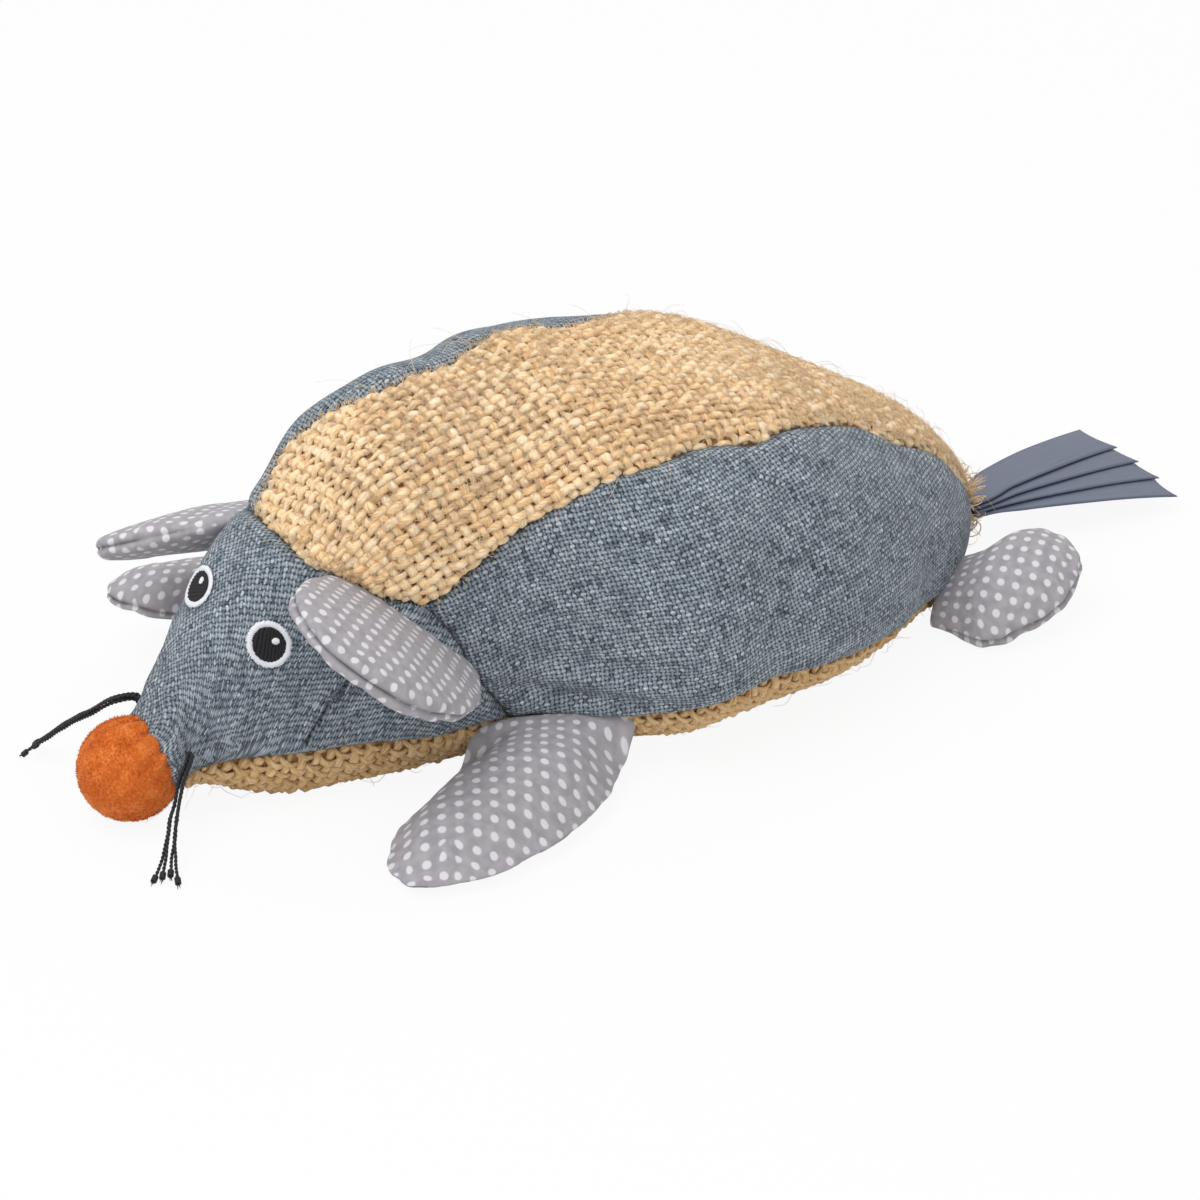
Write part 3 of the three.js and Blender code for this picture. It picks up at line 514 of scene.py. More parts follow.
def strand_points(route, column, layer):
    """A strand's own route beside the others: they lie close at the cheek and spread towards the floor."""
    centres = np.asarray(route, float)
    last = len(centres) - 1
    heading = centres[last] - centres[0]
    heading[2] = 0
    heading = unit(heading)
    across = np.array([-heading[1], heading[0], 0])
    made = []
    for row, centre in enumerate(centres):
        tangent = unit(centres[min(row + 1, last)] - centres[max(row - 1, 0)])
        over = np.cross(tangent, across)
        share = (row / last) ** 3.5
        aside = (1 - share) * column * WHISKER_PITCH + share * (2 * column + layer) * WHISKER_SPREAD
        made.append(centre + across * aside + over * (1 - share) * layer * WHISKER_PITCH)
    return np.array(made)


def whisker_path(route, k):
    """The middle line of one cord: its route, swaying a little, with its end cut to its own length."""
    path = smooth_line(strand_points(route, *WHISKER_PLACES[k]), WHISKER_STEPS)
    sway = np.sin(np.linspace(0, 1, WHISKER_STEPS) * math.pi)[:, None] * WHISKER_SWAY
    path = path + sway * np.array([[noise.noise(Vector((t * 0.22, 9.0 * k, axis * 5.0 + len(route))))
                                    for axis in range(3)] for t in range(WHISKER_STEPS)])
    return above(path, 0.6)[:WHISKER_STEPS - (k * 2) % 3]


def twisted(path):
    """Plies wound round each other along a path."""
    length = distances(path)[-1]
    count = max(int(length / PLY_LAY * 7), 12)
    at = np.linspace(0, length, count)
    centre = evenly(path, count)
    tangent = unit(np.gradient(centre, axis=0))
    side = unit(np.cross(tangent, [0.3, 0.2, 1.0]))
    up = np.cross(side, tangent)
    made = []
    for k in range(PLIES):
        turn = 2 * math.pi * (at / PLY_LAY + k / PLIES)
        out = side * np.cos(turn)[:, None] + up * np.sin(turn)[:, None]
        made.append((centre + out * PLY_OFFSET, out, PLY_RADIUS, PLY_RADIUS, 0.3 + 0.13 * k))
    return made


def knotted(path):
    """The knot at a path's end: loops of cord round it, and a few fibres that stand out past it."""
    end, before = path[-1], path[-3]
    ahead = unit(end - before)
    aside = unit(np.cross(ahead, [0, 0, 1]))
    over = np.cross(aside, ahead)
    made = []
    for loop in KNOT_LOOPS:
        turn = np.linspace(0, 2.2 * math.pi, 12)
        ring = (end - ahead * (0.9 - loop) + np.outer(np.cos(turn), aside) * 0.55
                + np.outer(np.sin(turn), over) * 0.5 + np.outer(turn, ahead) * 0.06)
        ring = above(ring, 0.45)
        made.append((ring, unit(ring - end), KNOT_RADIUS, KNOT_RADIUS, 0.5))
    for _ in range(KNOT_FIBRES):
        lean = chance.uniform(-0.5, 0.5, 3)
        t = np.linspace(0, 1, 4)[:, None]
        fibre = above(end - ahead * 0.3 + (ahead * 1.9 + lean) * t, 0.3)
        thin = np.linspace(KNOT_FIBRE, 0.05, 4)
        made.append((fibre, np.tile(over, (4, 1)), thin, thin, 0.6))
    return made


def make_whiskers():
    for side, route in WHISKER_ROUTES.items():
        for k in range(len(WHISKER_PLACES)):
            path = whisker_path(route, k)
            parts = twisted(path) + knotted(path)
            for part in parts:
                above(part[0], 0.3)
            cord = strands(f"whisker_cord_{side}_{k + 1}", parts, 6, black_cord)
            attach(cord, "root")
            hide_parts(f"whisker_{side}_{k + 1}")


make_whiskers()


# The stuffed skin: the same form and sizes as the solids
BODY_LENGTH, MUZZLE_REACH, BODY_WIDTH, BODY_HEIGHT = 256.0, 139.0, 142.0, 103.0
CHIN_RISE, RUMP_RISE, BELLY_SINK = 12.0, 9.0, 3.0
WIDEST_SHARE, CHIN_END, RUMP_START = 0.43, 0.14, 0.86
HEAD_ENDS = (0.14, 0.32)
SIDE_FULLNESS, BELLY_FULLNESS, HEAD_FULLNESS = 0.9, 0.72, 0.58
BODY_SHARES = np.array([
    (0.00, 0.16, 0.29), (0.03, 0.18, 0.40), (0.06, 0.23, 0.52), (0.10, 0.30, 0.64), (0.16, 0.38, 0.76),
    (0.22, 0.50, 0.93), (0.29, 0.55, 1.00), (0.355, 0.59, 1.00), (0.42, 0.78, 1.00), (0.495, 0.96, 0.95),
    (0.58, 0.94, 0.92), (0.67, 0.91, 0.86), (0.76, 0.77, 0.73), (0.84, 0.59, 0.61), (0.91, 0.43, 0.49),
    (0.966, 0.22, 0.32), (1.00, 0.06, 0.175),
])
LEFT_BACK = np.array([
    (0.13, 12), (0.238, 13), (0.297, 22), (0.377, 34.5), (0.45, 47), (0.515, 54), (0.56, 54), (0.603, 52),
    (0.64, 54.8), (0.705, 59), (0.785, 63.5), (0.83, 58), (0.90, 55.5), (0.94, 51), (1, 48),
])
RIGHT_BACK = np.array([
    (0.13, 78), (0.18, 67), (0.21, 77), (0.245, 84.5), (0.29, 88.5), (0.34, 87.5), (0.39, 83), (0.47, 77),
    (0.52, 79), (0.57, 75.5), (0.64, 67), (0.72, 66), (0.80, 66), (0.90, 62), (1, 52),
])
BELLY = np.array([
    (0, 5), (0.058, 13), (0.112, 17), (0.168, 21), (0.23, 26), (0.30, 28), (0.40, 31), (0.48, 24), (0.56, 19),
    (0.7, 21), (0.8, 26), (0.9, 30), (1, 34),
])
NECK = np.array([
    (-60, 0.345), (-30, 0.331), (-15, 0.307), (12, 0.238), (18, 0.196), (38, 0.164), (54, 0.144), (81, 0.136),
    (90, 0.136),
])
NOSE_CENTRE, NOSE_RADIUS = np.array([0.0, -147.0, 14.4]), 14.2


def read(table, column, at):
    """Smooth value of a table's column at places between its rows."""
    keys, values = table[:, 0], table[:, column]
    rows = np.arange(len(keys))
    before, after = np.maximum(rows - 1, 0), np.minimum(rows + 1, len(keys) - 1)
    slope = (values[after] - values[before]) / (keys[after] - keys[before])
    row = np.searchsorted(keys[1:-1], at, side="left")
    step = keys[row + 1] - keys[row]
    t = np.clip((at - keys[row]) / step, 0, 1)
    start = values[row] * (2 * t ** 3 - 3 * t ** 2 + 1) + slope[row] * step * (t ** 3 - 2 * t ** 2 + t)
    return start + values[row + 1] * (3 * t ** 2 - 2 * t ** 3) + slope[row + 1] * step * (t ** 3 - t ** 2)


def round_skin(along, turn):
    """Points of the stuffed skin before the floor flattens it: turn 0 is the left flank, 90 the back."""
    along, turn = np.broadcast_arrays(np.asarray(along, float), np.asarray(turn, float))
    half = read(BODY_SHARES, 1, along) * BODY_WIDTH / 2
    top = read(BODY_SHARES, 2, along) * BODY_HEIGHT
    rise = CHIN_RISE * (1 - smooth(along, 0, CHIN_END)) + RUMP_RISE * smooth(along, RUMP_START, 1)
    full = HEAD_FULLNESS + (1 - HEAD_FULLNESS) * smooth(along, *HEAD_ENDS)
    widest = np.maximum(WIDEST_SHARE * top, rise)
    across, up = np.cos(np.radians(turn)), np.sin(np.radians(turn))
    side = np.where(up >= 0, np.minimum(SIDE_FULLNESS, full), SIDE_FULLNESS)
    high = np.abs(up)
    return np.stack([
        np.sign(across) * np.abs(across) ** side * half,
        along * BODY_LENGTH - MUZZLE_REACH,
        np.where(up >= 0, widest + (top - widest) * high ** full,
                 widest - (widest - rise + BELLY_SINK) * high ** BELLY_FULLNESS),
    ], -1)


def skin_normal(along, turn):
    pace = round_skin(along, turn + 0.5) - round_skin(along, turn - 0.5)
    advance = round_skin(np.minimum(along + 0.002, 1), turn) - round_skin(np.maximum(along - 0.002, 0), turn)
    return unit(np.cross(advance, pace))


def skin(along, turn, depth):
    made = round_skin(along, turn) - skin_normal(along, turn) * np.asarray(depth)[..., None]
    made[..., 2] = np.maximum(made[..., 2], depth)
    return made


def neck_along(turn):
    return read(NECK, 1, np.minimum(turn, 180 - turn))


class Seam:
    """A seam from the neck to the rump: its turn along the body, and where it leaves the neck seam."""

    def __init__(self, turn_at):
        self.turn_at = turn_at
        self.corner = float(neck_along(np.array(90.0)))
        for _ in range(40):
            self.corner = (self.corner + float(neck_along(turn_at(np.array(self.corner))))) / 2


left_belly = Seam(lambda a: -read(BELLY, 1, a))
left_back = Seam(lambda a: read(LEFT_BACK, 1, a))
right_back = Seam(lambda a: 180 - read(RIGHT_BACK, 1, a))
right_belly = Seam(lambda a: 180 + read(BELLY, 1, a))


def behind_neck(low, high):
    """Places of a panel between two seams, from the neck seam to the rump."""
    def at(u, v):
        turn = low.turn_at(low.corner + (1 - low.corner) * u) * (1 - v) + high.turn_at(
            high.corner + (1 - high.corner) * u) * v
        neck = low.turn_at(low.corner) * (1 - v) + high.turn_at(high.corner) * v
        start = neck_along(neck)
        return start + (1 - start) * u, turn
    return at


def on_head(u, v):
    corners = [float(seam.turn_at(seam.corner)) for seam in (left_belly, left_back, right_back, right_belly)]
    neck = np.interp(v, [0, 0.3, 0.7, 1], corners)
    low = left_belly.turn_at(left_belly.corner * u)
    share = (neck - corners[0]) / (corners[-1] - corners[0])
    return neck_along(neck) * u, low * (1 - share) + (180 - low) * share


def on_belly(u, v):
    low = left_belly.turn_at(u)
    return u, (180 - low) * (1 - v) + (360 + low) * v


# Cut cloth: each panel's own flat map in millimetres, from the skin's lengths, then eased until it keeps
# them. The lengths are in tables, with a row for each step along the body and a column for each degree
TABLE_STEPS, TABLE_LOW, TABLE_HIGH = 160, -90, 280
TABLE_TURNS = TABLE_HIGH - TABLE_LOW
MIDDLE_ALONG = 0.45
EASING = 0.11
table_along = np.linspace(0, 1, TABLE_STEPS + 1)
table_turn = np.linspace(TABLE_LOW, TABLE_HIGH, TABLE_TURNS + 1)
table_points = round_skin(table_along[:, None], table_turn[None])
table_round = np.zeros((TABLE_STEPS + 1, TABLE_TURNS + 1))
table_round[:, 1:] = np.cumsum(np.linalg.norm(np.diff(table_points, axis=1), axis=2), axis=1)
table_long = np.zeros((TABLE_STEPS + 1, TABLE_TURNS + 1))
table_long[1:] = np.cumsum(np.linalg.norm(np.diff(table_points, axis=0), axis=2), axis=0)


def measured(table, along, turn):
    """Distance on the skin at a place: round it from its underside, or along it from the muzzle."""
    a, t = np.broadcast_arrays(along * TABLE_STEPS, turn - TABLE_LOW)
    i, j = np.clip(a.astype(int), 0, TABLE_STEPS - 1), np.clip(t.astype(int), 0, TABLE_TURNS - 1)
    x, y = a - i, t - j
    low = table[i, j] * (1 - y) + table[i, j + 1] * y
    high = table[i + 1, j] * (1 - y) + table[i + 1, j + 1] * y
    return low * (1 - x) + high * x


def flat_map(points, flat, passes=350):
    """Eases a grid's flat places until the distances between neighbours match the ones on the skin."""
    flat = flat.copy()
    families = [((slice(None), slice(None, -1)), (slice(None), slice(1, None))),
                ((slice(None, -1), slice(None)), (slice(1, None), slice(None))),
                ((slice(None, -1), slice(None, -1)), (slice(1, None), slice(1, None))),
                ((slice(None, -1), slice(1, None)), (slice(1, None), slice(None, -1)))]
    lengths = [np.linalg.norm(points[b] - points[a], axis=-1) for a, b in families]
    for _ in range(passes):
        pull = np.zeros_like(flat)
        for (a, b), length in zip(families, lengths):
            gap = flat[b] - flat[a]
            now = np.maximum(np.linalg.norm(gap, axis=-1), 1e-6)
            move = gap * ((now - length) / now)[..., None]
            pull[a] += move
            pull[b] -= move
        flat += pull * EASING
    return flat


def edge_distance(points, open_front):
    """Distance of each point of a grid from the grid's own border, with or without its first row."""
    sides = [points[-1], points[:, 0], points[:, -1]] + ([] if open_front else [points[0]])
    border = np.concatenate(sides)
    rows = [np.linalg.norm(row[:, None] - border[None], axis=2).min(1) for row in points]
    return np.array(rows)


class Panel:
    """A cut panel of the skin: a grid of places, points, normals, flat places and distances from seams."""

    def __init__(self, at, rows, columns, middle_turn, open_front=False):
        u, v = np.meshgrid(np.linspace(0, 1, rows + 1), np.linspace(0, 1, columns + 1), indexing="ij")
        self.along, self.turn = at(u, v)
        self.rows, self.columns = rows, columns
        self.points = skin(self.along, self.turn, np.zeros(u.shape))
        self.normals = skin_normal(self.along, self.turn)
        middle = middle_turn + 0 * self.turn
        midway = MIDDLE_ALONG + 0 * self.along
        round_it = measured(table_round, self.along, self.turn) - measured(table_round, self.along, middle)
        onward = measured(table_long, self.along, self.turn) - measured(table_long, midway, self.turn)
        start = np.stack([round_it, onward], -1)
        self.flat = flat_map(self.points, start)
        self.edge = edge_distance(self.points, open_front)


# How far cloth stays off the nose ball and the floor, and the stuffing's lumps, by their size and height
CLOTH_OFF_NOSE, CLOTH_OFF_FLOOR = 0.7, 0.2
BROAD_LUMPS, SMALL_LUMPS = (46.0, 1.5), (17.0, 0.55)


def settled(points, lift=0.0):
    """Keeps cloth out of the nose ball and off the floor."""
    away = points - NOSE_CENTRE
    distance = np.linalg.norm(away, axis=-1, keepdims=True)
    keep = NOSE_RADIUS + CLOTH_OFF_NOSE + lift
    points = np.where(distance < keep, NOSE_CENTRE + away / np.maximum(distance, 1e-6) * keep, points)
    points[..., 2] = np.maximum(points[..., 2], CLOTH_OFF_FLOOR)
    return points


def softness(points):
    """How far the stuffing's unevenness moves the skin out, the same for all that lies there."""
    fade = smooth(points[..., 2], 6, 24) * (1 - 0.75 * smooth(-points[..., 1], 92, 122))
    size, height = BROAD_LUMPS
    small_size, small_height = SMALL_LUMPS
    return (height * lumps(points, size, 1) + small_height * lumps(points, small_size, 1, 3.0)) * fade


panels = {
    "back": Panel(behind_neck(left_back, right_back), 110, 72, 98.0),
    "side_left": Panel(behind_neck(left_belly, left_back), 120, 60, 15.0),
    "side_right": Panel(behind_neck(right_back, right_belly), 120, 48, 165.0),
    "head": Panel(on_head, 150, 270, 90.0, open_front=True),
    "belly": Panel(on_belly, 120, 64, 270.0),
}


# Canvas panels: how their threads are turned, in degrees, the cheek darts, which are short sewn tucks from
# each ear towards the mouth, the eyes' places along and round the head, with the mouse's left as 1 and its
# right as -1, and how far the hem wraps the nose ball, in radians
GRAIN = {"head": 45.0, "side_left": 15.0, "side_right": -15.0}
CANVAS_THICKNESS = 1.2
CHEEK_DART = [(28.6, -93.5, 43.0), (28.2, -95.9, 40.6), (25.7, -101.5, 32.4), (23.9, -106.2, 24.4),
              (23.0, -108.5, 20.0)]
EYES = {"left": (0.094, 28.0, 1), "right": (0.0705, 78.0, -1)}
MUZZLE_WRAP, HEM_ROWS = 0.12, 7


def ridge(points, line, width):
    """Closeness of points to a line of points: 1 on it, and nearly 0 two widths away."""
    line = np.asarray(line, float)
    best = np.full(points.shape[:-1], 1e9)
    for a, b in zip(line[:-1], line[1:]):
        t = np.clip(((points - a) @ (b - a)) / ((b - a) @ (b - a)), 0, 1)
        best = np.minimum(best, np.linalg.norm(points - (a + t[..., None] * (b - a)), axis=-1))
    return np.exp(-(best / width) ** 2)


def flat_lumps(across, along, size, seed):
    """Smooth noise over two measures of a panel's grid."""
    return lumps(np.stack([across, along, np.zeros(across.shape)], -1), size, 1, seed)


def eye_centre(side_name):
    along, turn, side = EYES[side_name]
    return round_skin(along, turn if side > 0 else 180 - turn)


def seam_roll(p):
    """How far a panel's cloth stands out: it rolls into its seams and puckers along them."""
    edge = p.edge
    move = softness(p.points) - 1.9 * np.exp(-(edge / 1.5) ** 1.4) + 0.25 * np.exp(-((edge - 4) / 2.5) ** 2)
    pucker = flat_lumps(p.flat[..., 0], p.flat[..., 1], 6.5, 9.0)
    return move + 0.75 * pucker * np.exp(-edge / 5.0) * smooth(edge, 0, 2)


def sew_darts(p, move, tone):
    """Sews the cheek darts in: a tight tuck with painted shade along it, and a swell and a hollow in front of
    it.
    """
    for sign in (1, -1):
        line = [(sign * x, y, z) for x, y, z in CHEEK_DART]
        move = move - 2.3 * ridge(p.points, line, 0.62)
        # painted shade in the dart's crease
        tone = np.maximum(tone, ridge(p.points, line, 0.42))
        move = move + 1.1 * ridge(p.points + np.array([0, 1.8, 0]), line, 1.5)
        move = move - 0.7 * ridge(p.points + np.array([0, 6.0, 0]), line, 2.6)
    return move, tone


def crease_muzzle(p, move):
    """Adds the fine creases that run back from the nose, but not over the eyes."""
    front = smooth(-p.points[..., 1], 104, 128)
    folds = 1 - 2.4 * np.abs(flat_lumps(p.turn * 0.16, p.points[..., 1], 6.5, 2.0))
    for side_name in EYES:
        front = front * smooth(np.linalg.norm(p.points - eye_centre(side_name), axis=-1), 7, 14)
    return move + 1.1 * folds * front * smooth(p.edge, 0, 5)


def fold_behind_neck(p, move):
    """Adds the folds of a side panel where the form turns in behind the neck."""
    y, z = p.points[..., 1], p.points[..., 2]
    neck = np.exp(-(y + 42) ** 2 / 900.0) * np.exp(-((z - 22) / 20.0) ** 2)
    folds = np.sin(z * 0.55 + y * 0.10 + 1.2)
    folds = folds + 0.7 * flat_lumps(y * 0.3, z, 5.0, 4.0)
    return move + 1.15 * folds * neck * smooth(p.edge, 0, 6)


def muzzle_hem(edge_points):
    """Rows of cloth that carry on from the muzzle's edge, round and down on to the nose ball, and tuck in."""
    away = edge_points - NOSE_CENTRE
    far = np.linalg.norm(away, axis=-1, keepdims=True)
    out = away / far
    ahead = np.array([0.0, -1.0, 0.0])
    onward = unit(ahead - (out @ ahead)[:, None] * out)
    made = []
    for turn, share in zip(np.linspace(MUZZLE_WRAP, 0, HEM_ROWS), np.linspace(1, 0, HEM_ROWS)):
        snug = NOSE_RADIUS + 0.9 - 2.0 * smooth(share, 0.75, 1.0)
        reach = far + (snug - far) * smooth(share, -0.1, 0.7)
        made.append(NOSE_CENTRE + (out * math.cos(turn) + onward * math.sin(turn)) * reach)
    return np.array(made[:-1])


def hemmed(shaped, flat, out, tone):
    """The head panel's rows with the muzzle's hem in front of them."""
    hem = muzzle_hem(shaped[0])
    steps = np.linalg.norm(np.diff(np.concatenate([hem, shaped[:1]]), axis=0), axis=-1)
    back = np.cumsum(steps[::-1], axis=0)[::-1]
    return (np.concatenate([hem, shaped]),
            np.concatenate([flat[:1] - np.stack([0 * back, back], -1), flat]),
            np.concatenate([np.repeat(out[:1], len(hem), 0), out]),
            np.concatenate([0 * hem[..., 0], tone]))


def make_canvas_panel(name, key, node):
    """A linen-look panel: it rolls into its seams, puckers along them, and creases where the form turns."""
    p = panels[key]
    flat, out, head = p.flat, p.normals, key == "head"
    # tone: painted shade along the seams, by which the canvas is darkened
    move, tone = seam_roll(p), 0.55 * np.exp(-(p.edge / 0.9) ** 2)
    if head:
        move, tone = sew_darts(p, move, tone)
        move = crease_muzzle(p, move)
    else:
        move = fold_behind_neck(p, move)
    shaped = settled(p.points + out * move[..., None])
    if head:
        shaped, flat, out, tone = hemmed(shaped, flat, out, tone)
    turn = math.radians(GRAIN[key])
    flat = flat @ np.array([[math.cos(turn), math.sin(turn)], [-math.sin(turn), math.cos(turn)]])
    quads = grid_quads(len(shaped) - 1, p.columns)
    obj = piece(name, shaped.reshape(-1, 3), quads, canvas, flat.reshape(-1, 2)[quads.ravel()], tone.ravel())
    finish_cloth(obj, out, CANVAS_THICKNESS, rounded=not head)
    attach(obj, "root")
    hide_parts(node)


make_canvas_panel("side_panel_canvas_left", "side_left", "side_panel_left")
make_canvas_panel("side_panel_canvas_right", "side_right", "side_panel_right")
make_canvas_panel("head_panel_canvas", "head", "head_panel")


# Jute cloth: plain weave of thick, loosely spun yarns, drawn yarn by yarn on the panel's flat map. Each
# direction has its pitch, half its yarns' width, and the rise of a yarn over the ones that it crosses
CROSS_PITCH, LONG_PITCH = 3.6, 2.35
CROSS_LEAN = math.tan(math.radians(15.0))
YARN_WIDE, YARN_WAVE = {"long": 1.02, "cross": 1.22}, {"long": 0.88, "cross": 0.64}
YARN_HIGH, YARN_WAVER, YARN_SLUB = 0.62, 0.85, 0.40
YARN_SIDES, YARN_OFF_FLOOR = 6, 0.8
BACKING_THICKNESS, BACKING_DEPTH = 0.5, 0.95


class FlatLookup:
    """Finds the point and normal on a panel's skin that a flat place stands for."""

    def __init__(self, panel):
        quads = grid_quads(panel.rows, panel.columns)
        self.triangles = np.concatenate([quads[:, [0, 1, 2]], quads[:, [0, 2, 3]]])
        self.flat = panel.flat.reshape(-1, 2)
        points = panel.points
        self.points = (points + panel.normals * softness(points)[..., None]).reshape(-1, 3)
        self.normals = panel.normals.reshape(-1, 3)
        self.edge = panel.edge.reshape(-1)
        self.tree = BVHTree.FromPolygons(np.c_[self.flat, np.zeros(len(self.flat))].tolist(),
                                         self.triangles.tolist())

    def at(self, places):
        """Rows of point, normal and distance from the seams, with a mask of the places on the panel."""
        rows, found = np.zeros((len(places), 7)), np.zeros(len(places), bool)
        for k, (x, y) in enumerate(places):
            hit = self.tree.ray_cast(Vector((x, y, 1.0)), Vector((0, 0, -1.0)))
            if hit[2] is None:
                continue
            a, b, c = self.triangles[hit[2]]
            pa, pb, pc = self.flat[a], self.flat[b], self.flat[c]
            area = (pb[0] - pa[0]) * (pc[1] - pa[1]) - (pc[0] - pa[0]) * (pb[1] - pa[1])
            wb = ((x - pa[0]) * (pc[1] - pa[1]) - (pc[0] - pa[0]) * (y - pa[1])) / area
            wc = ((pb[0] - pa[0]) * (y - pa[1]) - (x - pa[0]) * (pb[1] - pa[1])) / area
            w = np.array([1 - wb - wc, wb, wc])
            corners = [a, b, c]
            rows[k, :3] = w @ self.points[corners]
            rows[k, 3:6] = w @ self.normals[corners]
            rows[k, 6] = w @ self.edge[corners]
            found[k] = True
        return rows, found


def runs(found, least):
    """Slices of the unbroken stretches where found is true."""
    edges = np.flatnonzero(np.diff(np.concatenate([[0], found.astype(int), [0]])))
    return [slice(a, b) for a, b in zip(edges[::2], edges[1::2]) if b - a >= least]


def unevenness(number, place, pace, seed, roughness, depth):
    """Noise along one yarn, which its number sets."""
    return np.array([noise.fractal(Vector((number, t * pace, seed)), *roughness, depth) for t in place])


def weave(panel, lookup, lengthwise, steps, base, lean):
    """The yarns of one direction: each passes over and under the others, with its own waver and thickness.
    The cross yarns lean, as they do in loosely woven cloth."""
    corners = panel.flat.reshape(-1, 2) @ np.array([[1.0, lean], [0.0, 1.0]])
    low, high = corners.min(0), corners.max(0)
    pitch, crossed = (LONG_PITCH, CROSS_PITCH) if lengthwise else (CROSS_PITCH, LONG_PITCH)
    family = "long" if lengthwise else "cross"
    across, along = (0, 1) if lengthwise else (1, 0)
    made = []
    for number in range(math.ceil(low[across] / pitch), math.floor(high[across] / pitch) + 1):
        place = np.arange(low[along], high[along], crossed / steps)
        waver = unevenness(number * 5.1 + 40 * lengthwise, place, 0.07, 0.5, (0.8, 2.5), 3)
        slub = unevenness(number * 3.3, place, 0.16, 7.5 + 9 * lengthwise, (0.9, 2.2), 2)
        flat = np.zeros((len(place), 2))
        flat[:, along] = place
        flat[:, across] = number * pitch + waver * YARN_WAVER
        flat[:, 1] -= lean * flat[:, 0]
        rows, found = lookup.at(flat)
        wave = np.cos(math.pi * place / crossed + math.pi * number) * (1 if lengthwise else -1)
        for run in runs(found, 3):
            point, up, edge = rows[run, :3], unit(rows[run, 3:6]), rows[run, 6]
            sunk = 2.3 * np.exp(-(edge / 1.8) ** 1.6)
            lift = base + YARN_WAVE[family] * wave[run] * (1 + 0.5 * slub[run]) - sunk
            path = above(settled(point + up * lift[:, None], 1.0), YARN_OFF_FLOOR)
            size = 1 + YARN_SLUB * slub[run]
            tall = YARN_HIGH * size * (1 + 0.25 * np.maximum(wave[run], 0))
            tall = np.minimum(tall, np.maximum(path[:, 2] - 0.15, 0.3))
            made.append((path, up, YARN_WIDE[family] * size, tall, float(chance.uniform(0, 1)) + number))
    return made


def jute_backing(name, p, base):
    """Cloth just under the yarns, which closes the holes between them, darker with painted shade."""
    sunk = softness(p.points) + base - BACKING_DEPTH - 1.4 * np.exp(-(p.edge / 1.8) ** 1.5)
    points = settled(p.points + p.normals * sunk[..., None])
    quads = grid_quads(p.rows, p.columns)
    flat = p.flat.reshape(-1, 2)[quads.ravel()]
    obj = piece(name, points.reshape(-1, 3), quads, jute_inside, flat * [0.3, 1.0], np.zeros(p.edge.size))
    finish_cloth(obj, p.normals, BACKING_THICKNESS, rounded=False)
    return obj


def make_jute_panel(key, node, steps, base, yarn, lean):
    p = panels[key]
    lookup = FlatLookup(p)
    made = [jute_backing(f"{node}_backing", p, base)]
    for word, lengthwise in (("long_yarns", True), ("cross_yarns", False)):
        yarns = weave(p, lookup, lengthwise, steps, base, lean)
        made.append(strands(f"{node}_{word}", yarns, YARN_SIDES, yarn))
    for obj in made:
        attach(obj, "root")
        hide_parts(node)
    return lookup


back_lookup = make_jute_panel("back", "back_panel", 4, -0.3, jute, CROSS_LEAN)
belly_lookup = make_jute_panel("belly", "belly_panel", 3, -0.8, jute_belly, 0.0)


# Stray jute fibres: fine hairs that stand off the cloth, the longer ones mostly at its seams and outlines.
# The surface fuzz is in two pieces, as one piece has a limit of triangles
FIBRE_OFF_FLOOR = 0.4
FUZZ_PIECES, FUZZ_COUNT = 2, 6300


def stray_fibres(name, lookup, key, count, stands, length, thick, steps, at_edges):
    """Hairs of a length that stand off the cloth by a height, on a panel that a lookup places them on."""
    p = panels[key]
    flat = p.flat.reshape(-1, 2)
    weights = at_edges * np.exp(-p.edge.reshape(-1) / 9.0) + 0.35
    chosen = chance.choice(len(flat), count, p=weights / weights.sum())
    rows, found = lookup.at(flat[chosen] + chance.normal(0, 1.5, (count, 2)))
    t = np.linspace(0, 1, steps + 1)[:, None]
    parts = []
    for row in rows[found]:
        up = unit(row[3:6])
        lean = unit(np.cross(up, chance.normal(0, 1, 3)))
        curl = unit(np.cross(up, lean) + chance.normal(0, 0.3, 3))
        reach, high = chance.uniform(*length), chance.uniform(*stands)
        if at_edges < 0.5:
            reach = min(reach, 0.7 * row[6])
        bend = chance.uniform(-0.5, 0.5)
        path = (row[:3] + up * (0.3 + high * np.sin(t * math.pi * chance.uniform(0.55, 1.0)))
                + lean * reach * t + curl * reach * bend * t ** 2
                + up * chance.uniform(-0.3, 0.3) * np.sin(9 * t))
        path = above(settled(path), FIBRE_OFF_FLOOR)
        wide = thick * (1.1 - 0.6 * t[:, 0])
        parts.append((path, np.tile(up, (steps + 1, 1)), wide, wide, float(chance.uniform(0, 1))))
    made = strands(name, parts, 4, jute_fibre)
    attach(made, "root")


stray_fibres("back_stray_fibres", back_lookup, "back", 210, (0.8, 3.6), (5.0, 17.0), 0.06, 10, 1.0)
for fuzz_number in range(1, FUZZ_PIECES + 1):
    stray_fibres(f"back_surface_fuzz_{fuzz_number}", back_lookup, "back", FUZZ_COUNT, (0.5, 1.4), (1.8, 5.0),
                 0.08, 3, 0.1)
stray_fibres("belly_stray_fibres", belly_lookup, "belly", 230, (0.4, 2.4), (3.0, 10.0), 0.06, 9, 1.0)


# Frayed jute at the rump: yarn ends that stand out round the tail's root, each with loose fibres, and curls
RUMP_END = np.array([0.0, 117.0, 13.0])
YARN_ENDS, FIBRES_PER_END, CURLS = 56, 7, 34


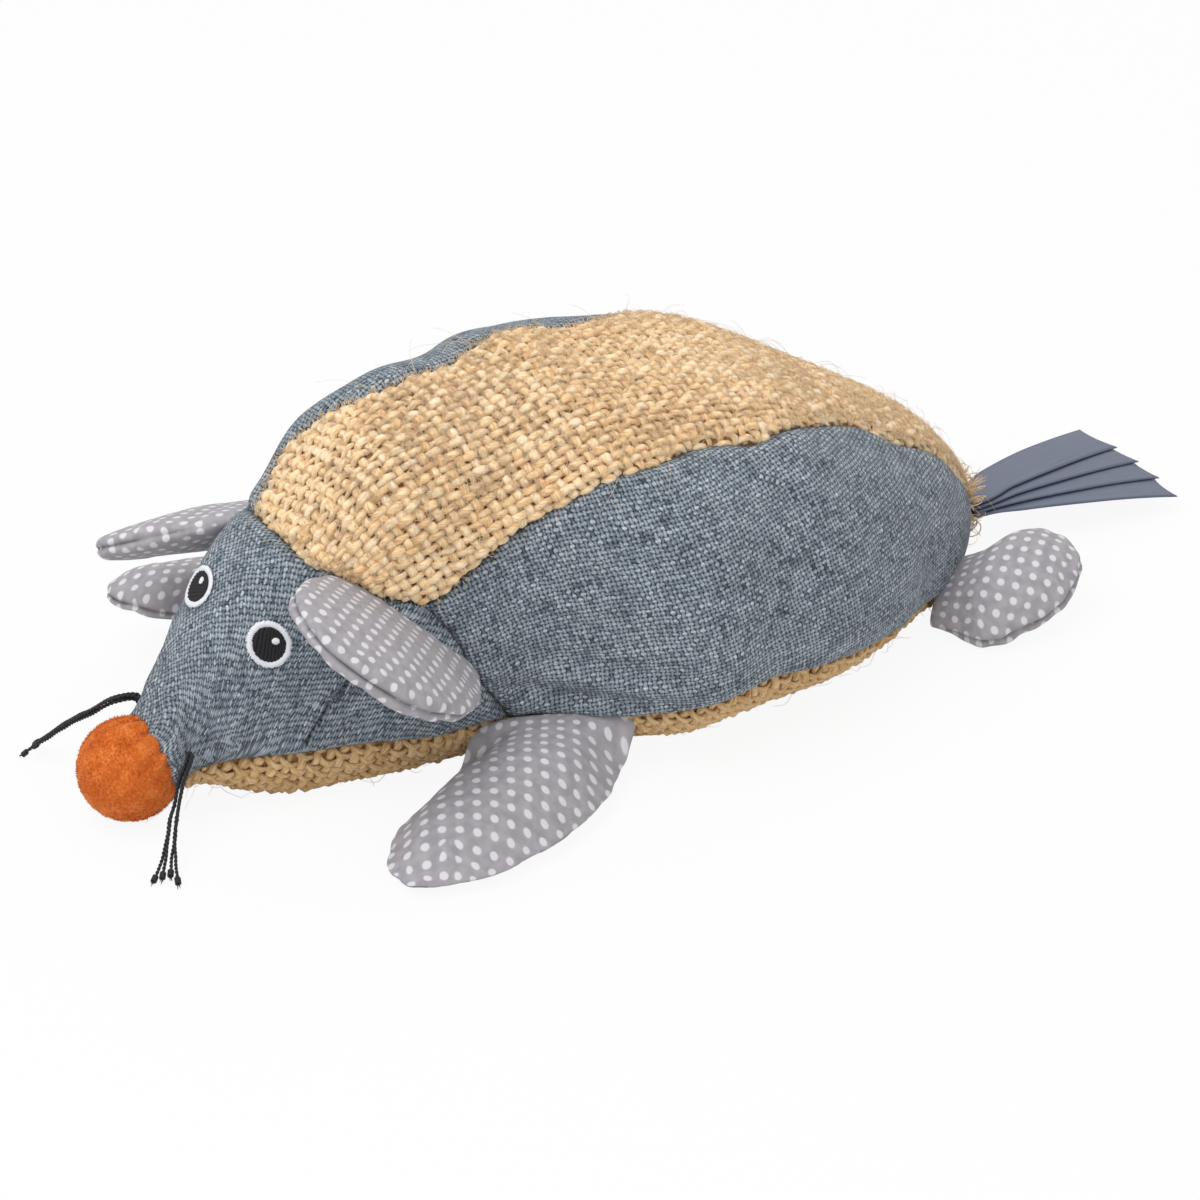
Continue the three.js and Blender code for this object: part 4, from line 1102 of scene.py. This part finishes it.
def frayed_ends():
    """Yarn ends that lean out of the rump, and the loose fibres beside each."""
    ends, fibres = [], []
    for _ in range(YARN_ENDS):
        turn = chance.uniform(0, 2 * math.pi)
        out = np.array([math.cos(turn), 0.0, math.sin(turn)])
        start = RUMP_END + out * [3.8, 1, 7.5] * chance.uniform(0.5, 1.0) + [0, chance.uniform(-4.0, -1.0), 0]
        ahead = unit(out * chance.uniform(0.2, 1.2) + np.array([0, chance.uniform(0.5, 1.2), 0]))
        bend = chance.normal(0, 0.45, 3)
        reach = chance.uniform(2.2, 4.4)
        t = np.linspace(0, 1, 8)[:, None]
        path = above(start + ahead * reach * t + bend * reach * t ** 2, 1.0)
        wide = chance.uniform(0.25, 0.6) * (1.05 - 0.6 * t[:, 0] ** 2)
        up = np.tile(out + [0, 0.3, 0.1], (8, 1))
        ends.append((path, up, wide, wide * 0.7, float(chance.uniform(0, 1))))
        for _ in range(FIBRES_PER_END):
            stray = path[1:] + np.linspace(0, 1, 7)[:, None] ** 1.3 * chance.normal(0, 1.5, 3)
            fibres.append((above(stray, 0.8), up[1:], 0.08, 0.08, float(chance.uniform(0, 1))))
    return ends, fibres


def curled_fibres():
    """Fibres that curl back over the root of the tail."""
    made = []
    for _ in range(CURLS):
        turn = np.linspace(0, chance.uniform(3.6, 5.6), 16)[:, None]
        side = unit(chance.normal(0, 1, 3) * [1, 0.4, 1])
        size = chance.uniform(1.6, 3.2)
        path = (RUMP_END + [0, 1.0, 0] + side * [2.5, 0, 6.0]
                + np.array([0, 1, 0]) * size * np.sin(turn) * 1.1 + side * size * (1 - np.cos(turn)) * 0.8)
        up = np.tile([0.2, 0.3, 1.0], (16, 1))
        made.append((above(path, 1.0), up, 0.16, 0.16, float(chance.uniform(0, 1))))
    return made


def make_rump_fray():
    ends, fibres = frayed_ends()
    fibres += curled_fibres()
    for word, parts, material in (("yarn", ends, jute), ("fibres", fibres, jute_fibre)):
        made = strands(f"rump_frayed_{word}", parts, 6, material)
        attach(made, "root")


make_rump_fray()


# Ears and feet: two cloths sewn edge to edge, turned out and stuffed
EAR = dict(reach=45.0, width=62.0, thickness=14.0, sweep=17.0, root=(0.8, 0.4), broadest=0.5)
FRONT_FOOT = dict(reach=56.0, width=54.0, thickness=20.0, sweep=38.0, root=(0.78, 0.3), broadest=0.6)
REAR_FOOT = dict(reach=36.0, width=46.0, thickness=22.0, sweep=-15.0, root=(0.75, 0.3), broadest=0.6)
EAR_SINK, FOOT_SINK, FOOT_GAP = 7.0, 1.0, 0.4
PAD_ROWS, PAD_COLUMNS = 30, 40
PAD_RING = 2 * PAD_COLUMNS
PAD_EASING = 200
OUTLINE_POINTS = 500
# The inflation starts a little wider and much flatter than the pad, at ten times life size. Of the small
# wrinkles that it gives, the deepest is this share of the pad's reach
START_WIDER, START_FLATTER = 1.02, 0.45
INFLATE_SCALE, INFLATE_FRAMES = 10.0, 20
HELD_SHARE = 0.12
DEEPEST_WRINKLE, WRINKLE_SHARE, WRINKLE_PASSES = 0.017, 0.9, 14
# Points on each pad's axis, a little behind and a little past its sewn root, in metres
PAD_BENDS = {}
BEND_BEFORE, BEND_AFTER = 1, 6


class Pad:
    """An ear's or a foot's form, and how it is sewn on: its axes' Y runs along it, and Z through it."""

    def __init__(self, size, along, turn_at, heading, lift, roll, side, sink, lowest):
        self.size, self.side, self.lowest, self.along = size, side, lowest, along
        turned = (Matrix.Rotation(math.radians(-side * (90 + heading)), 3, "Z")
                  @ Matrix.Rotation(math.radians(lift), 3, "X")
                  @ Matrix.Rotation(math.radians(-side * roll), 3, "Y"))
        self.axes = np.array(turned)
        turn = float(turn_at if side > 0 else 180 - turn_at)
        self.root = skin(np.array(along), np.array(turn), np.array(0.0))
        self.origin = self.root - self.axes[:, 1] * sink
        self.shares = np.sin(math.pi / 2 * np.linspace(0, 1, PAD_ROWS + 1))[:, None]

    def form(self, wider=1.0, thicker=1.0):
        """Rings of points from the root to the tip, on the pad's own axes."""
        size, s = self.size, self.shares
        angle = 2 * math.pi * np.arange(PAD_RING)[None] / PAD_RING
        end = np.sqrt(np.maximum(1 - s ** 3.4, 0))
        wide_root, thick_root = size["root"]
        wide = end * (wide_root + (1 - wide_root) * smooth(s, 0, size["broadest"]))
        thick = end * (thick_root + (1 - thick_root) * smooth(s, 0, 0.45))
        return np.stack([self.side * size["sweep"] * s + wider * wide * size["width"] / 2 * np.cos(angle),
                         size["reach"] * s + 0 * angle,
                         thicker * thick * size["thickness"] / 2 * np.sin(angle)], -1)

    def placed(self, rings):
        """Points of all rings but the last, then the tip, where they lie on the mouse."""
        world = rings @ self.axes.T + self.origin
        world[..., 2] = np.maximum(world[..., 2], self.lowest)
        return np.concatenate([world[:-1].reshape(-1, 3), world[-1, :1]])

    def reach_of(self, points):
        """How far along the pad points lie from its root."""
        return (points - self.root) @ self.axes[:, 1]


def pad_faces():
    """A pad's faces: four-sided ones between its rings, a fan round the tip, and one across the root."""
    i, j = np.divmod(np.arange((PAD_ROWS - 1) * PAD_RING), PAD_RING)
    k = (j + 1) % PAD_RING
    here, ahead = i * PAD_RING, (i + 1) * PAD_RING
    quads = np.stack([here + j, here + k, ahead + k, ahead + j], 1)
    last, tip = (PAD_ROWS - 1) * PAD_RING, PAD_ROWS * PAD_RING
    fan = [[last + q, last + (q + 1) % PAD_RING, tip] for q in range(PAD_RING)]
    return quads.tolist() + fan + [list(range(PAD_RING))[::-1]]


def inflated(name, points, faces, pinned):
    """Where the cloth goes when the pad is blown up from a flatter start: a short cloth simulation, with the
    sewn root held."""
    mesh = bpy.data.meshes.new(name)
    mesh.from_pydata((points * MM * INFLATE_SCALE).tolist(), [], faces)
    obj = bpy.data.objects.new(name, mesh)
    bpy.context.scene.collection.objects.link(obj)
    held = obj.vertex_groups.new(name="held")
    held.add([int(k) for k in np.flatnonzero(pinned)], 1.0, "REPLACE")
    cloth = obj.modifiers.new("inflation", "CLOTH")
    settings = cloth.settings
    settings.quality = 6
    settings.mass = 0.15
    settings.use_pressure = True
    settings.uniform_pressure_force = 6.0
    settings.tension_stiffness = settings.compression_stiffness = 40.0
    settings.shear_stiffness = 10.0
    settings.bending_stiffness = 0.6
    settings.vertex_group_mass = "held"
    settings.effector_weights.gravity = 0.0
    cloth.point_cache.frame_start, cloth.point_cache.frame_end = 1, INFLATE_FRAMES
    for step in range(1, INFLATE_FRAMES + 1):
        bpy.context.scene.frame_set(step)
    shown = obj.evaluated_get(bpy.context.evaluated_depsgraph_get())
    moved = np.array([v.co for v in shown.data.vertices]) / MM / INFLATE_SCALE
    bpy.context.scene.frame_set(1)
    bpy.data.objects.remove(obj)
    return moved


def evened(field, passes):
    """A ring-shaped field with its small changes averaged out."""
    for _ in range(passes):
        field = (np.roll(field, 1, 1) + 2 * field + np.roll(field, -1, 1)) / 4
        padded = np.concatenate([field[:1], field, field[-1:]])
        field = (padded[:-2] + 2 * field + padded[2:]) / 4
    return field


def wrinkled(name, pad, target, faces):
    """The pad's points with the small wrinkles of blown up cloth: the deepest goes with the pad's size, and
    the sewn tip has none."""
    start = pad.placed(pad.form(START_WIDER, START_FLATTER))
    pinned = np.concatenate([np.repeat(pad.shares[:-1, 0] < HELD_SHARE, PAD_RING), [False]])
    blown = inflated(f"{name}_inflation", start, faces, pinned)
    move = (blown - target)[:-1].reshape(PAD_ROWS, PAD_RING, 3)
    wrinkles = move - evened(move, WRINKLE_PASSES)
    deepest = DEEPEST_WRINKLE * pad.size["reach"]
    depth = np.linalg.norm(wrinkles, axis=-1, keepdims=True)
    from_tip = 1 - np.arange(PAD_ROWS)[:, None, None] / PAD_ROWS
    kept = np.minimum(WRINKLE_SHARE, deepest / np.maximum(depth, 1e-6))
    wrinkles = wrinkles * kept * smooth(from_tip, 0.03, 0.25)
    points = target.copy()
    points[:-1] += wrinkles.reshape(-1, 3)
    return points


def pad_map(form, grain):
    """Flat places for each corner of each face: the two cloths are cut from one half of the rings each, and
    their print is turned by the grain's degrees."""
    flats = []
    for half, sign in ((0, -1), (1, 1)):
        grid = form[:, (np.arange(PAD_COLUMNS + 1) + half * PAD_COLUMNS) % PAD_RING]
        across = np.cumsum(np.linalg.norm(np.diff(grid, axis=1, prepend=grid[:, :1]), axis=2), axis=1)
        middle = grid[:, PAD_COLUMNS // 2]
        onward = np.cumsum(np.linalg.norm(np.diff(middle, axis=0, prepend=middle[:1]), axis=1))
        start = np.stack([sign * (across - across[:, PAD_COLUMNS // 2, None]) + middle[:, None, 0],
                          onward[:, None] + 0 * across], -1)
        flats.append(flat_map(grid, start, PAD_EASING))
    uv = []
    for row in range(PAD_ROWS):
        for place in range(PAD_RING):
            half, c = divmod(place, PAD_COLUMNS)
            f = flats[half]
            if row < PAD_ROWS - 1:
                uv += [f[row, c], f[row, c + 1], f[row + 1, c + 1], f[row + 1, c]]
            else:
                uv += [f[row, c], f[row, c + 1], f[row + 1, c]]
    uv += [np.zeros(2)] * PAD_RING
    turn = math.radians(grain)
    spin = np.array([[math.cos(turn), -math.sin(turn)], [math.sin(turn), math.cos(turn)]])
    return np.array(uv) @ spin.T + [400.0, 400.0]


def sew_pad(obj, pad, target, flop, tuck):
    """The sewn edge: a groove, with each cloth puckering beside it in its own way. A foot's sewn edge flops
    towards the floor, and its lower cloth goes flat. A tuck narrows the pad at its root."""
    points, out = positions(obj), vertex_normals(obj)
    rings = target[:-1].reshape(-1, PAD_RING, 3)
    outline = np.concatenate([rings[:, 0], target[-1:], rings[::-1, PAD_RING // 2]])
    outline = smooth_line(outline, OUTLINE_POINTS)
    gaps = np.linalg.norm(points[:, None] - outline[None], axis=2)
    near, nearest = gaps.min(1), gaps.argmin(1)
    length = np.linalg.norm(np.diff(outline, axis=0), axis=1).sum()
    face = np.sign(((points - pad.origin) @ pad.axes)[:, 2])
    seam_place = np.stack([nearest * length / (OUTLINE_POINTS - 1), 30 * face + 7.0, near * 0.35], -1)
    pucker = lumps(seam_place, 4.2, 1, pad.along * 10)
    open_end = smooth(pad.reach_of(points), 2.0, 9.0)
    move = (0.95 * pucker * np.exp(-near / 5.0) * smooth(near, 0, 2.4) - 1.25 * np.exp(-(near / 0.95) ** 2)
            + 0.45 * np.exp(-((near - 2.6) / 1.7) ** 2)) * open_end
    move += 0.55 * lumps(points, 13.0, 1, 1.5)
    points = points + out * move[:, None]
    narrowed = tuck * (1 - smooth(pad.reach_of(points), 0.0, 0.5 * pad.size["reach"]))
    aside = pad.axes[:, 0]
    points -= np.outer(((points - pad.root) @ aside) * narrowed, aside)
    if pad.lowest:
        down = np.exp(-(near / np.where(face > 0, 8.0, 4.0)) ** 2) * open_end * flop
        points[:, 2] += (pad.lowest + 2.2 - points[:, 2]) * down
    move_to(obj, above(points, max(pad.lowest, 0.4)))
    # painted shade in the sewn groove, kept in the tone attribute
    tone = obj.data.attributes.new("tone", "FLOAT", "POINT")
    tone.data.foreach_set("value", (np.exp(-(near / 0.6) ** 2) * open_end).astype(np.float32))


def make_pad(name, pad, grain, flop=0.0, tuck=0.0):
    form = pad.form()
    target, faces = pad.placed(form), pad_faces()
    points = wrinkled(name, pad, target, faces)
    obj = piece(f"{name}_cloth", points, faces, dotted, pad_map(form, grain))
    edit(obj, bpy.ops.mesh.normals_make_consistent, inside=False)
    round_off(obj)
    apply_modifiers(obj)
    sew_pad(obj, pad, target, flop, tuck)
    round_off(obj)
    apply_modifiers(obj)
    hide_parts(f"{name}_upper", f"{name}_lower")
    ahead = pad.axes[:, 1]
    PAD_BENDS[name] = {"start": tuple((pad.root - BEND_BEFORE * ahead) * MM),
                       "end": tuple((pad.root + BEND_AFTER * ahead) * MM)}
    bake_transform(obj)


def belly_turn(along):
    return float(left_belly.turn_at(np.array(along)))


def make_foot(name, size, along, heading, lift, roll, side, grain, flop, tuck=0.0):
    pad = Pad(size, along, belly_turn(along), heading, lift, roll, side, FOOT_SINK, FOOT_GAP)
    make_pad(name, pad, grain, flop, tuck)


make_pad("ear_left", Pad(EAR, 0.215, 6, 25, 1, 41, 1, EAR_SINK, 0.0), 20)
make_pad("ear_right", Pad(EAR, 0.20, 11, 36, -23, 22, -1, EAR_SINK, 0.0), -8)
make_foot("front_foot_left", FRONT_FOOT, 0.38, 24, -10, 0, 1, 5, flop=0.8)
make_foot("front_foot_right", FRONT_FOOT, 0.31, 14, -6, 14, -1, -40, flop=0.15)
make_foot("rear_foot_left", REAR_FOOT, 0.885, -36, 1, -20, 1, -5, flop=0.12, tuck=0.3)
make_foot("rear_foot_right", REAR_FOOT, 0.885, -36, 1, -20, -1, 5, flop=0.12, tuck=0.3)


# Nose: a plush ball, gathered where it meets the muzzle, with its pile standing off it
NOSE_TILT, NOSE_BALL = 32.0, 13.5
NOSE_SEGMENTS, NOSE_RINGS = 128, 80
NOSE_POLE = np.array([0.0, math.cos(math.radians(NOSE_TILT)), math.sin(math.radians(NOSE_TILT))])
PILE_HAIRS, PILE_OFF_FLOOR, PILE_END = 9000, 1.3, 0.80


def make_nose():
    bpy.ops.object.select_all(action="DESELECT")
    bpy.ops.mesh.primitive_uv_sphere_add(segments=NOSE_SEGMENTS, ring_count=NOSE_RINGS, radius=NOSE_BALL * MM)
    obj = bpy.context.object
    obj.name = "nose_plush"
    points = positions(obj)
    away = unit(points)
    polar = np.arccos(np.clip(away[:, 2], -1, 1))
    around = np.arctan2(away[:, 1], away[:, 0])
    ripple = np.sin(13 * around + 1.4 * np.sin(3 * around)) + 0.5 * np.sin(21 * around + 2.0)
    gather = np.clip((math.radians(96) - polar) / math.radians(60), 0, 1) ** 1.3
    reach = NOSE_BALL + 0.5 * ripple * gather + 0.35 * lumps(points, 9.0, 1, 4.0)
    points = away * (reach - 2.2 * np.exp(-(polar / 0.3) ** 2))[:, None]
    side = np.array([1.0, 0.0, 0.0])
    third = np.cross(NOSE_POLE, side)
    points = (np.outer(points[:, 0], side) + np.outer(points[:, 1], third) + np.outer(points[:, 2], NOSE_POLE)
              + NOSE_CENTRE)
    move_to(obj, above(points, 0.3))
    obj.data.materials.append(plush)
    bpy.ops.object.shade_smooth()
    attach(obj, "root")
    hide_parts("nose_cover")


def make_nose_pile():
    """Short hairs all over the ball, but not where it is sewn on or rests on the floor."""
    parts = []
    t = np.array([0.0, 0.55, 1.0])[:, None]
    wide = np.array([0.1, 0.09, 0.03])
    for _ in range(PILE_HAIRS):
        out = unit(chance.normal(0, 1, 3))
        start = NOSE_CENTRE + out * (NOSE_BALL - 0.3)
        if out @ NOSE_POLE > PILE_END or start[2] < PILE_OFF_FLOOR:
            continue
        lean = unit(np.cross(out, [0.6, 0.2, 1.0])) * chance.uniform(0.1, 0.5) + chance.normal(0, 0.2, 3)
        path = start + (out * t + lean * t ** 2) * chance.uniform(0.45, 0.7)
        parts.append((path, np.tile(lean + 1e-3, (3, 1)), wide, wide, 0.0))
    pile = strands("nose_pile", parts, 4, plush)
    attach(pile, "root")


make_nose()
make_nose_pile()


# Eyes: a ring and a highlight of white satin stitches, and a pupil of black ones sewn in rows
EYE_WIDE, EYE_HIGH, EYE_RING = 11.2, 12.4, 1.35
RING_STITCHES, NOTCH_DEPTH = 124, 0.9
PUPIL_ROW, PUPIL_STITCH, PUPIL_STAGGER, SHORTEST_STITCH = 0.3, 3.3, 1.1, 0.3
SHINE_RADIUS, SHINE_FORWARD, SHINE_UP, SHINE_ROW = 0.9, -1.8, 0.8, 0.3
STITCH_POINTS = 6
eye_outer = np.array([EYE_WIDE, EYE_HIGH]) / 2
eye_inner = eye_outer - EYE_RING


def near_spot(along, turn, forward, up):
    """The place on the skin that lies so far forward and up from a spot, measured on the spot's own plane."""
    centre = round_skin(along, turn)
    upward = unit(round_skin(along, turn + 0.5) - round_skin(along, turn - 0.5))
    onward = np.cross(skin_normal(along, turn), upward)
    a, t = along + 0 * forward, turn + 0 * forward
    for _ in range(30):
        reach = round_skin(a, t) - centre
        advance = np.linalg.norm(round_skin(a + 0.002, t) - round_skin(a - 0.002, t), axis=-1) / 0.004
        pace = np.linalg.norm(round_skin(a, t + 0.5) - round_skin(a, t - 0.5), axis=-1)
        a = a - (forward - reach @ onward) / advance / 2
        t = t + (up - reach @ upward) / pace / 2
    return a, t


def stitch(side_name, start, end, wide, high, lift):
    """One stitch of thread on an eye, from and to a place forward and up from the eye's centre."""
    along, turn, side = EYES[side_name]
    t = np.linspace(0, 1, STITCH_POINTS)
    a, b = near_spot(along, turn, start[0] + (end[0] - start[0]) * t, start[1] + (end[1] - start[1]) * t)
    b = b if side > 0 else 180 - b
    base, out = skin(a, b, 0 * t), skin_normal(a, b)
    path = base + out * (softness(base) + (lift + 0.28 * np.sin(math.pi * t)))[..., None]
    size = 0.55 + 0.45 * np.sin(math.pi * np.clip(t, 0.08, 0.92))
    return path, out, wide * size, high * size, float(chance.uniform(0, 1))


def ring_stitches(side_name):
    made = []
    for k in range(RING_STITCHES):
        turned = 2 * math.pi * (k + chance.uniform(-0.2, 0.2)) / RING_STITCHES
        way = np.array([math.cos(turned), math.sin(turned)])
        end = way * (eye_outer + chance.uniform(-0.15, 0.2))
        made.append(stitch(side_name, way * (eye_inner - 0.15), end, 0.24, 0.2, 0.42))
    return made


def pupil_stitches(side_name):
    """Upright rows of stitches, with a notch at the top where the rows meet."""
    made = []
    pupil = eye_inner + 0.1
    for k, x in enumerate(np.arange(-pupil[0] + 0.2, pupil[0] - 0.1, PUPIL_ROW)):
        height = pupil[1] * math.sqrt(max(1 - (x / pupil[0]) ** 2, 0))
        top = height - NOTCH_DEPTH * math.exp(-(x / 0.55) ** 2)
        cuts = np.arange(-height - (k % 3) * PUPIL_STAGGER, top, PUPIL_STITCH)
        ends = [max(c, -height) for c in cuts] + [top]
        for low, high in zip(ends[:-1], ends[1:]):
            if high - low > SHORTEST_STITCH:
                made.append(stitch(side_name, (x, low), (x + 0.05, high), 0.2, 0.17, 0.3))
    return made


def shine_stitches(side_name):
    made = []
    for x in np.arange(-0.75, 0.8, SHINE_ROW):
        height = SHINE_RADIUS * math.sqrt(max(1 - (x / SHINE_RADIUS) ** 2, 0.04))
        made.append(stitch(side_name, (x + SHINE_FORWARD, SHINE_UP - height),
                           (x + SHINE_FORWARD, SHINE_UP + height), 0.22, 0.2, 0.62))
    return made


def make_eye(side_name):
    for word, sew, thread, slot in (
        ("ring", ring_stitches, white_thread, "white_thread"),
        ("pupil", pupil_stitches, black_thread, "black_thread"),
        ("highlight", shine_stitches, white_thread, "white_thread"),
    ):
        made = strands(f"eye_{word}_stitches_{side_name}", sew(side_name), 6, thread)
        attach(made, "root")
        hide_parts(f"eye_{word}_{side_name}")


make_eye("left")
make_eye("right")


# Tail: four satin ribbons fanned like cards from one root
RIBBON_LENGTH, RIBBON_WIDTH, RIBBON_ROOT, RIBBON_DROOP = 65.0, 14.0, 11.0, 7.0
RIBBON_HEADINGS = (15, 8, 0, -9)
RIBBON_PITCH, RIBBON_STEP, RIBBON_THICKNESS = 0.8, 1.0, 0.32
RIBBON_IN_SEAM, RIBBON_END_CURVE = 1.0, 1.6
RIBBON_ROWS, RIBBON_COLUMNS = 44, 10
TAIL_AT = np.array([0.0, 118.75, 13.0])


def make_ribbon(k):
    layer, heading = 1.5 - k, RIBBON_HEADINGS[k]
    rows, columns = np.linspace(0, 1, RIBBON_ROWS + 1), np.linspace(0, 1, RIBBON_COLUMNS + 1)
    u, v = np.meshgrid(rows, columns, indexing="ij")
    bow = 1 - (2 * v - 1) ** 2
    y = -RIBBON_IN_SEAM + (RIBBON_LENGTH + RIBBON_IN_SEAM - RIBBON_END_CURVE * bow) * u
    width = RIBBON_ROOT + (RIBBON_WIDTH - RIBBON_ROOT) * smooth(u, 0, 0.6)
    spread = math.radians(heading) * smooth(u, 0, 0.25)
    x = (v - 0.5) * width + (k - 1.5) * RIBBON_STEP
    turned = np.stack([x * np.cos(spread) - y * np.sin(spread), x * np.sin(spread) + y * np.cos(spread)], -1)
    away = np.maximum(turned[..., 1], 0) / RIBBON_LENGTH
    z = layer * RIBBON_PITCH - RIBBON_DROOP * away ** 2
    z = z + 0.10 * np.sin(5.0 * u + k) * u + 0.22 * bow * u
    points = np.stack([turned[..., 0], turned[..., 1], z], -1) + TAIL_AT
    quads = grid_quads(RIBBON_ROWS, RIBBON_COLUMNS)
    flat = np.stack([x + 20 * k, y], -1).reshape(-1, 2)
    obj = piece(f"tail_ribbon_satin_{k + 1}", points.reshape(-1, 3), quads, ribbon_satin, flat[quads.ravel()])
    thicken(obj, RIBBON_THICKNESS, 0.0)
    apply_modifiers(obj)
    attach(obj, "tail")
    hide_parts(f"tail_ribbon_{k + 1}")


for ribbon_number in range(len(RIBBON_HEADINGS)):
    make_ribbon(ribbon_number)


# Inner goods: the stuffings, the pouch and its fill, a little inside their solids and well inside the cloths
WADDING_DEPTH = 1.6
SAME_POINT_M = 0.00001
LIMBS = ("ear_left", "ear_right", "front_foot_left", "front_foot_right", "rear_foot_left", "rear_foot_right")


def kept_inside(points, cover):
    """Moves the points that are out of a sewn cloth, or too near to it, to a depth inside it."""
    faces = [list(face.vertices) for face in cover.data.polygons]
    tree = BVHTree.FromPolygons(positions(cover).tolist(), faces)
    for k, point in enumerate(points):
        hit, out, _, _ = tree.find_nearest(Vector(point))
        if (hit - Vector(point)).dot(out) < WADDING_DEPTH:
            points[k] = hit - out * WADDING_DEPTH
    return points


def make_inner(node, name, material, body, inset, lumpiness, cover=None):
    """A copy of a node's solid, rounded, lumpy and a little smaller."""
    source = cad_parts[node]
    mesh = source.data.copy()
    for layer in list(mesh.uv_layers):
        mesh.uv_layers.remove(layer)
    mesh.materials.clear()
    mesh.materials.append(material)
    obj = bpy.data.objects.new(name, mesh)
    bpy.context.scene.collection.objects.link(obj)
    edit(obj, bpy.ops.mesh.remove_doubles, threshold=SAME_POINT_M)
    round_off(obj)
    apply_modifiers(obj)
    points = positions(obj)
    move = -inset - lumpiness * (0.5 + 0.5 * lumps(points, 8.0, 1))
    points = points + vertex_normals(obj) * move[:, None]
    if cover is not None:
        points = kept_inside(points, cover)
    move_to(obj, points)
    if body in PAD_BENDS:
        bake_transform(obj)
    else:
        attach(obj, body)
    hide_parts(node)


make_inner("body_stuffing", "body_wadding", wadding, "root", 1.6, 0.6)
make_inner("nose_stuffing", "nose_wadding", wadding, "root", 0.8, 0.4)
make_inner("catnip_pouch_top", "pouch_muslin_top", muslin, "root", 0.0, 0.0)
make_inner("catnip_pouch_bottom", "pouch_muslin_bottom", muslin, "root", 0.0, 0.0)
make_inner("catnip_fill", "pouch_leaf_fill", dried_leaf, "root", 0.1, 0.4)
for limb_name in LIMBS:
    make_inner(f"{limb_name}_stuffing", f"{limb_name}_wadding", wadding, limb_name, 2.2, 0.3,
               cover=bpy.data.objects[f"{limb_name}_cloth"])


# Floor, backdrop and soft studio light: the camera sees both white, and the light on the mouse is less
FLOOR_SIZE_M, FLOOR_WHITE, ROOM_LIGHT = 6.0, 0.92, 0.54
SOFTBOXES = (
    ("key_softbox", (0.05, -0.55, 1.1), 1.3, 1.0, 10.0),
    ("fill_softbox", (1.0, -0.2, 0.6), 1.5, 1.2, 3.0),
    ("rim_softbox", (-0.6, 0.9, 0.9), 1.5, 0.9, 3.0),
)


def seen(tree):
    """1 where the camera sees a thing, straight or through gloss or glass, and 0 where it only lights."""
    ray = add(tree, "ShaderNodeLightPath").outputs
    either = add(tree, "ShaderNodeMath", {0: ray["Is Camera Ray"], 1: ray["Is Glossy Ray"]},
                 operation="MAXIMUM")
    return add(tree, "ShaderNodeMath", {0: either, 1: ray["Is Transmission Ray"]}, operation="MAXIMUM")


def make_floor():
    material, tree, shader = new_material("pale_floor", Roughness=0.9, Base_Color=linear("#E9E9E9"))
    white = add(tree, "ShaderNodeEmission", {"Color": (1, 1, 1, 1), "Strength": 1.0})
    share = add(tree, "ShaderNodeMath", {0: seen(tree), 1: FLOOR_WHITE}, operation="MULTIPLY")
    mixed = add(tree, "ShaderNodeMixShader", {0: share, 1: shader, 2: white})
    tree.links.new(mixed.outputs[0], tree.nodes["Material Output"].inputs["Surface"])
    bpy.ops.object.select_all(action="DESELECT")
    bpy.ops.mesh.primitive_plane_add(size=FLOOR_SIZE_M)
    floor = bpy.context.object
    floor.name = "floor"
    floor.data.materials.append(material)


def make_room():
    world = bpy.data.worlds.new("soft_room")
    bpy.context.scene.world = world
    world.use_nodes = True
    tree = world.node_tree
    ground = tree.nodes["Background"]
    strength = add(tree, "ShaderNodeMapRange", {0: seen(tree), 3: ROOM_LIGHT, 4: 1.0})
    ground.inputs["Color"].default_value = (1, 1, 1, 1)
    tree.links.new(strength.outputs[0], ground.inputs["Strength"])


def make_softbox(name, direction, distance, size, power):
    light = bpy.data.lights.new(name, "AREA")
    light.shape, light.size, light.energy = "SQUARE", size, power
    lamp = bpy.data.objects.new(name, light)
    bpy.context.scene.collection.objects.link(lamp)
    way = Vector(direction).normalized()
    lamp.location = way * distance
    lamp.rotation_euler = (-way).to_track_quat("-Z", "Y").to_euler()


make_floor()
make_room()
for softbox in SOFTBOXES:
    make_softbox(*softbox)
bpy.context.scene.view_settings.view_transform = "Standard"
